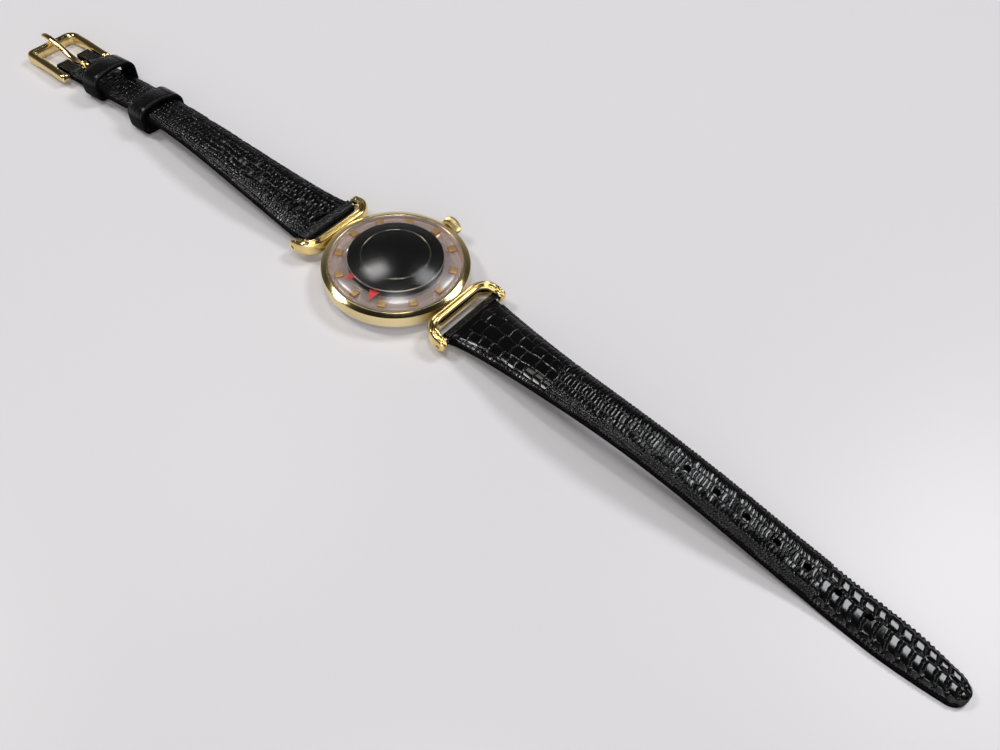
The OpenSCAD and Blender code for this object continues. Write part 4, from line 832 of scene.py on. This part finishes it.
NEAR_NOSE = zone(-5, 2.7, [-1, 1], [(50, 50)], relief=0.1, soft=0.2, slant=0, bow=0, jitter=0, ragged=0)
long_scales = Scales([
    NEAR_NOSE,
    zone(2.7, 24, [-1, -0.88, -0.46, 0.04, 0.5, 0.85, 1],
         [(1.1, 0.8), (3.0, 1.5), (4.2, 2.2), (3.8, 2.0), (2.6, 1.2), (1.1, 0.8)], relief=0.15, soft=0.22,
         slant=0.06, bow=0.25, jitter=0.22, bead=1.2, power=0.55, tilt=0.05, ragged=0.5),
    zone(24, 80, [-1, -0.87, -0.75, -0.62, -0.2, 0.28, 0.84, 1],
         [(0.6, 0.6), (0.55, 0.55), (0.6, 0.6), (0.85, 0.75), (0.8, 0.72), (0.85, 0.75), (0.72, 0.72)],
         relief=0.15, soft=0.22, slant=0.1, bow=0.12, jitter=0.14, bead=1.5, power=0.65, tilt=0.07, ends=0.7),
    zone(80, 140, [-1, -0.84, 0.14, 0.82, 1], [(0.8, 0.8), (2.15, 2.15), (2.3, 2.3), (0.9, 0.9)],
         relief=0.36, soft=0.62, slant=0.12, bow=0.3, jitter=0.12, bead=0.6, power=0.75, tilt=0.03,
         ragged=0.6)], seed=11)
short_scales = Scales([
    NEAR_NOSE,
    zone(1.3, 90, [-1, -0.88, -0.76, -0.62, -0.4, -0.14, 0.14, 0.42, 0.68, 0.86, 1],
         [(0.65, 0.6), (0.6, 0.55), (0.65, 0.6), (0.9, 0.75), (1.1, 0.85), (1.05, 0.85), (1.1, 0.85),
          (0.9, 0.8), (0.7, 0.65), (0.72, 0.65)], relief=0.11, soft=0.22, slant=-0.08, bow=0.2,
         jitter=0.25, bead=1.4, power=0.6, tilt=0.13)], seed=23)


# ---------------- straps: leather
STEP = 0.11  # between stations


def strap(name, stations, line, scales, body, nodes, flip, taper=None, span=None):
    """A closed strap: embossed crowned top, rounded ragged sides and a flat lining, lofted along its line.

    line holds the strap's middle, underside, width and thickness as functions of the station. span cuts a
    lengthwise strip out of the width.
    """
    mid, low, width, thickness = line
    corner, sink, hem = 0.4, 0.12, 0.12
    notch_depth, notch_relief = 0.32, 0.13
    n_top, n_arc, n_low, ds = 112, 5, 8, 0.05
    s = np.asarray(stations, float)
    slope = np.arctan2(low(s + ds) - low(np.maximum(s - ds, 0)), ds + np.minimum(s, ds))[:, None]
    w, t = width(s), thickness(s)
    if taper is not None:
        w = np.maximum(0.8, w * taper(s))
        t = t * (0.75 + 0.25 * taper(s))
    b0, b1 = -w / 2, w / 2
    if span is not None:
        b0, b1 = np.maximum(b0, span[0]), np.minimum(b1, span[1])
    edge = np.minimum(EDGE_T + 1.15 * np.maximum(0, 1 - s / 10) ** 2, t)[:, None]
    half, cen = ((b1 - b0) / 2)[:, None], ((b0 + b1) / 2)[:, None]
    b0, b1, w, t = (a[:, None] for a in (b0, b1, w, t))

    # top: crowned, with the scales on it
    top_b = cen + (half - corner) * (1 - 2 * np.linspace(0, 1, n_top)[None, :])
    v = top_b / (w / 2)
    crowned = edge + (t - edge) * (1 - np.minimum(np.abs(v), 1) ** 4)
    all_s, all_half = np.repeat(s[:, None], n_top, 1), np.repeat(w / 2, n_top, 1)
    relief = scales.height(all_s.ravel(), v.ravel(), all_half.ravel()).reshape(v.shape)
    top_z = crowned + relief - sink
    # walls: round onto the top, and notched where the outer scales part
    notch = [notch_depth * np.clip(1 - relief[:, q] / notch_relief, 0, 1)[:, None] for q in (2, -3)]
    turn = np.linspace(0, math.pi / 2, n_arc)[None, :-1]
    foot, waist = np.full((len(s), 1), hem), edge * 0.5
    low_b = cen + (half - hem) * np.linspace(-1, 1, n_low)[None, :]
    across = np.concatenate([
        low_b, b1, b1 - notch[0], (b1 - corner) + (corner - notch[0]) * np.cos(turn), top_b,
        ((b0 + corner) - (corner - notch[1]) * np.cos(turn))[:, ::-1], b0 + notch[1], b0], 1)
    above = np.concatenate([
        np.zeros_like(low_b), foot, waist, (top_z[:, :1] - corner) + corner * np.sin(turn), top_z,
        ((top_z[:, -1:] - corner) + corner * np.sin(turn))[:, ::-1], waist, foot], 1)

    x = s[:, None] - np.sin(slope) * above
    z = low(s)[:, None] + np.cos(slope) * above
    y = mid(s)[:, None] + across
    sign = -1 if flip else 1
    verts = np.stack([sign * (PIN_X + x), y, np.maximum(z, 0.004)], 2).reshape(-1, 3)
    n, m = across.shape
    i = np.arange(n - 1)[:, None]
    j = np.arange(m)[None, :]
    k = (j + 1) % m
    quads = np.stack([i * m + j, (i + 1) * m + j, (i + 1) * m + k, i * m + k], 2)
    if not flip:
        quads = quads[:, :, ::-1]
    index = np.zeros((n - 1, m), int)
    index[:, :n_low - 1] = 1
    index[:, n_low - 1:n_low + 1] = 2
    index[:, -2:] = 2
    faces = [tuple(f) for f in quads.reshape(-1, 4)]
    faces += [tuple(range(m)), tuple((n - 1) * m + q for q in range(m))]
    obj = tidy(new_object(name, verts, faces, [hide, hide_lining, hide_edge], [*index.ravel(), 2, 2]))
    return dress(obj, body, "black_leather", *nodes)


def loop(name, bar_x, bar_z, sign, turn, y0, y1, t, body, closed):
    """Leather of thickness t carried round a bar; turn holds (x, z, radius, angle) as seen from the bar."""
    wide = y1 - y0
    corners = [(-wide / 2, -t), (wide / 2, -t), (wide / 2, 0), (-wide / 2, 0)]
    box = rounded(corners, [0.1, 0.1, 0.26, 0.26], 5)
    side = []
    for a, b in zip(box, box[1:] + box[:1]):
        steps = max(1, int(np.linalg.norm(b - a) / 0.5))
        side += [tuple(a + (b - a) * k / steps) for k in range(steps)]
    path, out = [], []
    for x, z, r, angle in turn:
        nx, nz = math.cos(math.radians(angle)), math.sin(math.radians(angle))
        path.append((bar_x + sign * (x + r * nx), (y0 + y1) / 2, bar_z + z + r * nz))
        out.append((sign * nx, 0, nz))
    obj = sweep(name, path, lambda i: ((0, 1.0, 0), out[i]), lambda i: side, [hide_fold, hide_edge],
                closed=closed, index=lambda i, j: 1 if abs(side[j][0]) > wide / 2 - 0.02 else 0)
    return dress(obj, body, "black_leather")


def nose(name, sign, low, body):
    """The end of a strap folded round its spring bar; the strap runs towards sign * X."""
    r, tail = 1.22, 0.95
    slope = math.atan2(float(low(0.1) - low(0.0)), 0.1)
    lean, rise = math.degrees(slope), math.tan(slope)
    turn = [(s, s * rise, r, lean + 90) for s in np.linspace(tail, 0.1, 8)]
    turn += [(0.0, 0.0, r, lean + 90 + a) for a in np.linspace(0, 180, 33)]
    turn += [(s, s * rise, r, lean + 270) for s in np.linspace(0.1, tail, 8)]
    loop(name, sign * PIN_X, PIN_Z, sign, turn, -STRAP_W / 2, STRAP_W / 2, 0.4, body, False)


def punch(obj):
    """The buckle holes, square to the strap."""
    tools = []
    for k in range(HOLES):
        s = HOLE_FIRST + HOLE_PITCH * k
        a = math.atan2(float(long_low(s + 0.1) - long_low(s - 0.1)), 0.2)
        tools.append(drill(PIN_X + s - math.sin(a), float(long_mid(s)), float(long_low(s)) + math.cos(a),
                           (0, -a, 0), HOLE_R, 6, hide_edge, 28))
    for other in tools:
        other.select_set(True)
    bpy.context.view_layer.objects.active = tools[0]
    bpy.ops.object.join()
    carve(obj, tools[0])


def fold(k, inner, outer):
    """One tail of the short strap: its flap beside the slot, and the leather round the buckle's bar."""
    bar_gap, thickness = 0.8, 0.5
    bar_r, reach, narrowing, tip_r = 1.17, 4.4, 0.44, 0.73
    shift = BUCKLE_Y - float(short_mid(SHORT_L))
    strap("strap_short_flap_%d" % k, np.arange(SHORT_L - SLOT_L, SHORT_L - bar_gap, STEP), SHORT_LINE,
          short_scales, "buckle_strap", (), True, None, (inner + shift, outer + shift))
    turn = [(0.0, 0.0, bar_r, q) for q in np.linspace(-84, 84, 17)]
    turn += [(-reach * f, 0.0, bar_r - narrowing * f, 96) for f in np.linspace(0, 1, 9)]
    turn += [(-reach, 0.0, tip_r, q) for q in np.linspace(96, 264, 21)[1:-1]]
    turn += [(-reach * f, 0.0, bar_r - narrowing * f, 264) for f in np.linspace(1, 0, 9)]
    y0, y1 = BUCKLE_Y + max(inner, -SHORT_W / 2), BUCKLE_Y + min(outer, SHORT_W / 2)
    loop("strap_fold_%d" % k, -BUCKLE_X, BUCKLE_Z, 1, turn, y0, y1, thickness, "buckle_strap", True)


LONG_LINE = (long_mid, long_low, long_width, lambda s: thick(s, LONG_L))
SHORT_LINE = (short_mid, short_low, short_width, lambda s: thick(s, SHORT_L))
WIDE = 9.0  # past the strap's edge
tip_stations = LONG_L - 0.05 - 0.55 * np.linspace(1, 0, 9) ** 1.5
punch(strap("strap_long_embossed", np.concatenate([np.arange(1.05, LONG_L - 0.6, STEP), tip_stations]),
            LONG_LINE, long_scales, "pointed_strap", ("strap_long", "lining_long"), False, tip_share))
strap("strap_short_embossed", np.arange(1.05, SHORT_L - SLOT_L + 0.001, STEP), SHORT_LINE, short_scales,
      "buckle_strap", ("strap_short", "lining_short"), True)
fold(0, SLOT_W / 2, WIDE)
fold(1, -WIDE, -SLOT_W / 2)
nose("strap_nose_6", 1, long_low, "pointed_strap")
nose("strap_nose_12", -1, short_low, "buckle_strap")


# ---------------- keepers
def keeper(name, s, low, body, cad):
    """A leather band round the short strap at station s, its underside at height low."""
    half_w, height, t, wide = 4.8, 4.45, 0.95, 5.6
    top_r, foot_r = 2.2, 1.1
    slope = math.atan2(short_low(s + 0.1) - short_low(s - 0.1), 0.2)
    yaw = math.atan2(short_mid(s + 0.1) - short_mid(s - 0.1), 0.2)
    cy, top = half_w + t / 2, height + t / 2
    path, out = [], []
    for sy, sz, start in ((1, -1, -90), (1, 1, 0), (-1, 1, 90), (-1, -1, 180)):
        q = top_r if sz > 0 else foot_r
        oy, oz = sy * (cy - q), (top - q if sz > 0 else q - t / 2)
        bend(path, out, oy, oz, q, [start + 90 * k / 8 for k in range(9)])
        # the run to the next corner bows a little
        ny, nz = math.cos(math.radians(start + 90)), math.sin(math.radians(start + 90))
        if abs(nz) > 0.5:
            for k in range(1, 16):
                f = k / 16
                bow = math.sin(math.pi * f) * (0.4 if nz > 0 else -0.04)
                path.append((oy - 2 * oy * f, oz + q * nz + bow))
                out.append((0, nz))
        else:
            for k in range(1, 6):
                rise = (top - top_r - foot_r + t / 2) * k / 6
                path.append((oy + q * ny, oz + rise * (1 if sz < 0 else -1)))
                out.append((ny, 0))
    # section across the leather, with a crease near each edge
    e, h = wide / 2, t / 2
    prof = [(-e + 0.12, h), (-e + 0.5, h + 0.02), (-e + 0.62, h - 0.06), (-e + 0.75, h + 0.03),
            (-e * 0.4, h + 0.07), (0, h + 0.08), (e * 0.4, h + 0.07), (e - 0.75, h + 0.03),
            (e - 0.62, h - 0.06), (e - 0.5, h + 0.02), (e - 0.12, h), (e, h - 0.2), (e, 0.15 - h),
            (e - 0.12, -h), (-e + 0.12, -h), (-e, 0.15 - h), (-e, h - 0.2)]
    obj = sweep(name, [(0, y, z) for y, z in path], lambda i: ((1.0, 0, 0), (0, *out[i])), lambda i: prof,
                [hide_smooth, hide_edge], closed=True, index=lambda i, j: 1 if 10 <= j <= 16 else 0)
    mod = obj.modifiers.new("sub", "SUBSURF")
    mod.levels = mod.render_levels = 2
    bake(obj)
    place = Matrix.Translation((-(PIN_X + s) * MM, float(short_mid(s)) * MM, low * MM))
    obj.data.transform(place @ Matrix.Rotation(-yaw, 4, "Z") @ Matrix.Rotation(slope, 4, "Y"))
    dress(obj, body, "black_leather", cad)


FIXED_S, FREE_S = SHORT_L - 9.8, SHORT_L - 27
keeper("keeper_fixed_band", FIXED_S, float(short_low(FIXED_S)) - 0.06, "buckle_strap", "keeper_fixed")
keeper("keeper_free_band", FREE_S, max(1.2, float(short_low(FREE_S) + thick(FREE_S, SHORT_L)) - 4.5),
       "sliding_keeper", "keeper_free")


# ---------------- buckle
TO_BUCKLE = Matrix.Translation((-BUCKLE_X * MM, BUCKLE_Y * MM, BUCKLE_Z * MM))
END_R = BUCKLE_T / 2


def buckle_frame():
    """Open frame: two arms from the bar, a tight corner on the near side and a wide one on the far side."""
    side_y, front_x = BUCKLE_IN / 2 + END_R, -(BUCKLE_L - END_R)
    near_r, far_r = 0.6, 1.9
    path, across = [], []

    def arm(xs, sign):
        for x in xs:
            path.append((x, sign * side_y))
            across.append((0, sign))

    def corner(r, sign, start):
        bend(path, across, front_x + r, sign * (side_y - r), r, [start - 90 * k / 12 for k in range(1, 13)])

    round_end = END_R * np.sqrt(1 - np.linspace(0, 1, 8) ** 2)
    arm(np.concatenate([round_end, np.linspace(0, front_x + near_r, 20)[1:]]), -1)
    corner(near_r, -1, -90)
    for y in np.linspace(near_r - side_y, side_y - far_r, 14)[1:]:
        path.append((front_x, y))
        across.append((-1, 0))
    corner(far_r, 1, 180)
    arm(np.concatenate([np.linspace(front_x + far_r, 0, 20)[1:], round_end[::-1][1:]]), 1)

    def section(i):
        x, reach = path[i][0], BUCKLE_L - BUCKLE_T
        f = smooth((-x - 0.55 * reach) / (0.4 * reach))
        lo, hi, wide = -END_R - (BUCKLE_Z - 0.03 - END_R) * f, END_R - 0.1 * f, BUCKLE_T
        if x > 0:
            hi = math.sqrt(max(0.0025, END_R * END_R - x * x))
            lo, wide = -hi, BUCKLE_T * (0.55 + 0.45 * min(1.0, hi / 0.5))
        return superellipse(wide, hi - lo, 2.8, 32, (hi + lo) / 2)

    obj = sweep("buckle_frame_polished", [(x, y, 0.0) for x, y in path],
                lambda i: ((*across[i], 0.0), (0, 0, 1.0)), section, [gold])
    obj.data.transform(TO_BUCKLE)
    dress(obj, "buckle", "polished_gold", "buckle_frame")


def buckle_tongue():
    """The tongue's curved wire and its loop round the bar."""
    t, overhang, point_from = 1.1, 2.3, 0.93
    root_z, crest = BAR_LOOP_R + t / 2, END_R + 0.2 + t / 2
    us = np.concatenate([np.linspace(0, point_from, 46),
                         point_from + (1 - point_from) * np.sin(np.linspace(0, math.pi / 2, 9))[1:]])

    def at(u):
        v = 1 - u
        z = root_z * v ** 3 - 6.6 * u * v ** 2 + 3 * (crest + 1.8) * u ** 2 * v + (crest - 0.5) * u ** 3
        return np.array([-(BUCKLE_L + overhang) * u, 0, z])

    def frames(i):
        d = at(us[i] + 0.01) - at(us[i] - 0.01)
        d /= np.linalg.norm(d)
        return (0, 1.0, 0), (d[2], 0, -d[0])

    def section(i):
        u = us[i]
        k = math.sqrt(max(0.03, 1 - max(0, (u - point_from) / (1 - point_from)) ** 2))
        return superellipse((1.6 - 0.2 * u) * k, t * (1.04 - 0.12 * u) * k, 2.3, 24)

    wire = sweep("buckle_tongue_polished", [at(u) for u in us], frames, section, [gold])
    ring = lathe("tongue_loop", [(BAR_LOOP_R, -0.7), (1.35, -0.7), (1.35, 0.7), (BAR_LOOP_R, 0.7)], [gold],
                 None, 56, [0.12, 0.3, 0.3, 0.12], "y")
    for obj in (wire, ring):
        obj.data.transform(TO_BUCKLE)
    dress(wire, "tongue", "polished_gold", "buckle_tongue")
    dress(ring, "tongue", "polished_gold")


buckle_frame()
buckle_tongue()


# ---------------- CAD nodes that stay, with finished surfaces
STAY = (
    (gold, "crown_tube centre_wheel third_wheel fourth_wheel balance_wheel buckle_bar"),
    (steel, "spring_bar_12 spring_bar_6 casing_screws winding_stem winding_pinion clutch_wheel barrel_arbor "
            "click escape_wheel pallet_fork cannon_pinion setting_wheel"),
    (steel_brushed, "setting_lever yoke ratchet_wheel crown_wheel"),
    (blue_steel, "bridge_screws mainspring click_spring hairspring"),
    (brass, "main_plate barrel_bridge train_bridge balance_cock pallet_bridge barrel minute_wheel "
            "hour_wheel"),
    (rubber, "crown_gasket back_gasket"),
    (ruby, "jewels"),
    (red, "hour_hand minute_hand"),
)
for finish, names in STAY:
    for name in names.split():
        obj = frame["nodes"][name]
        if not obj.material_slots:
            obj.data.materials.append(finish)
        for slot in obj.material_slots:
            slot.material = finish
for name in ("hour_hand", "minute_hand"):
    bevelled(frame["nodes"][name])


# ---------------- floor, light and world
FLOOR_SIZE, LAMP_DISTANCE = 3.0, 0.9  # metres
WARM, COOL, WHITE = (1.0, 0.985, 0.97), (0.97, 0.98, 1.0), (1, 1, 1)
LAMPS = (  # name, azimuth, elevation, size in metres, watts, colour
    ("soft_left", 156, 58, (0.17, 0.17), 0.35, WARM),
    ("soft_left_low", 200, 50, (0.2, 0.16), 2.1, WARM),
    ("soft_right", 99, 61, (0.17, 0.17), 0.26, COOL),
    ("soft_right_low", 71, 51, (0.23, 0.21), 2.3, COOL),
    ("soft_top", 127, 87, (0.2, 0.1), 1.3, WHITE),
    ("soft_front", 305, 62, (0.1, 0.1), 0.5, WHITE),
)
SKY = ((0.18, 0.25), (0.4, 0.1), (0.55, 0.05), (0.75, 0.04))  # height of the direction, grey level


def stage():
    bpy.ops.mesh.primitive_plane_add(size=FLOOR_SIZE, location=(0, 0, 0))
    floor = bpy.context.object
    floor.name = "floor"
    m, nt, _, links, b = material("floor_pale")
    clouds = noise(nt, coords(nt), 0.004, 2)
    links.new(mix_colour(nt, clouds, (0.80, 0.775, 0.80), (0.82, 0.80, 0.815)), b.inputs["Base Color"])
    b.inputs["Roughness"].default_value = 0.32
    b.inputs["Specular IOR Level"].default_value = 0.35
    floor.data.materials.append(m)


def softbox(name, az, el, size, watts, colour):
    """A soft lamp that faces the watch."""
    a, e = math.radians(az), math.radians(el)
    lamp = bpy.data.lights.new(name, "AREA")
    lamp.shape = "RECTANGLE"
    lamp.size, lamp.size_y = size
    lamp.energy = watts
    lamp.color = colour
    obj = bpy.data.objects.new(name, lamp)
    bpy.context.scene.collection.objects.link(obj)
    toward = Vector((math.cos(a) * math.cos(e), math.sin(a) * math.cos(e), math.sin(e)))
    obj.location = toward * LAMP_DISTANCE
    obj.rotation_euler = toward.to_track_quat("Z", "Y").to_euler()


def world():
    """Plain studio: pale near the horizon, dark above, with a broad pale wall behind the camera."""
    w = bpy.data.worlds.new("world")
    bpy.context.scene.world = w
    w.use_nodes = True
    nt = w.node_tree
    nt.nodes.clear()
    out = node(nt, "ShaderNodeOutputWorld")
    direction = node(nt, "ShaderNodeTexCoord").outputs["Generated"]
    sep = node(nt, "ShaderNodeSeparateXYZ")
    nt.links.new(direction, sep.inputs[0])
    ramp = node(nt, "ShaderNodeValToRGB")
    stops = ramp.color_ramp.elements
    stops[0].position = 0.0
    stops[0].color = (0.38, 0.37, 0.36, 1)
    stops[1].position = 1.0
    stops[1].color = (0.006, 0.006, 0.007, 1)
    for at, grey in SKY:
        stops.new(at).color = (grey, grey * 0.98, grey * 0.98, 1)
    nt.links.new(sep.outputs["Z"], ramp.inputs["Fac"])
    dot = node(nt, "ShaderNodeVectorMath", operation="DOT_PRODUCT")
    dot.inputs[1].default_value = (0.67, -0.67, 0.31)
    nt.links.new(direction, dot.inputs[0])
    wall = spread(nt, dot.outputs["Value"], 0.0, 1.2, 0.6, 0.95, "SMOOTHSTEP")
    both = node(nt, "ShaderNodeVectorMath", operation="ADD")
    nt.links.new(ramp.outputs["Color"], both.inputs[0])
    nt.links.new(wall, both.inputs[1])
    studio = node(nt, "ShaderNodeBackground", Strength=1.0)
    nt.links.new(both.outputs["Vector"], studio.inputs["Color"])
    nt.links.new(studio.outputs["Background"], out.inputs["Surface"])


stage()
for lamp_values in LAMPS:
    softbox(*lamp_values)
world()
bpy.context.scene.view_settings.view_transform = "Standard"
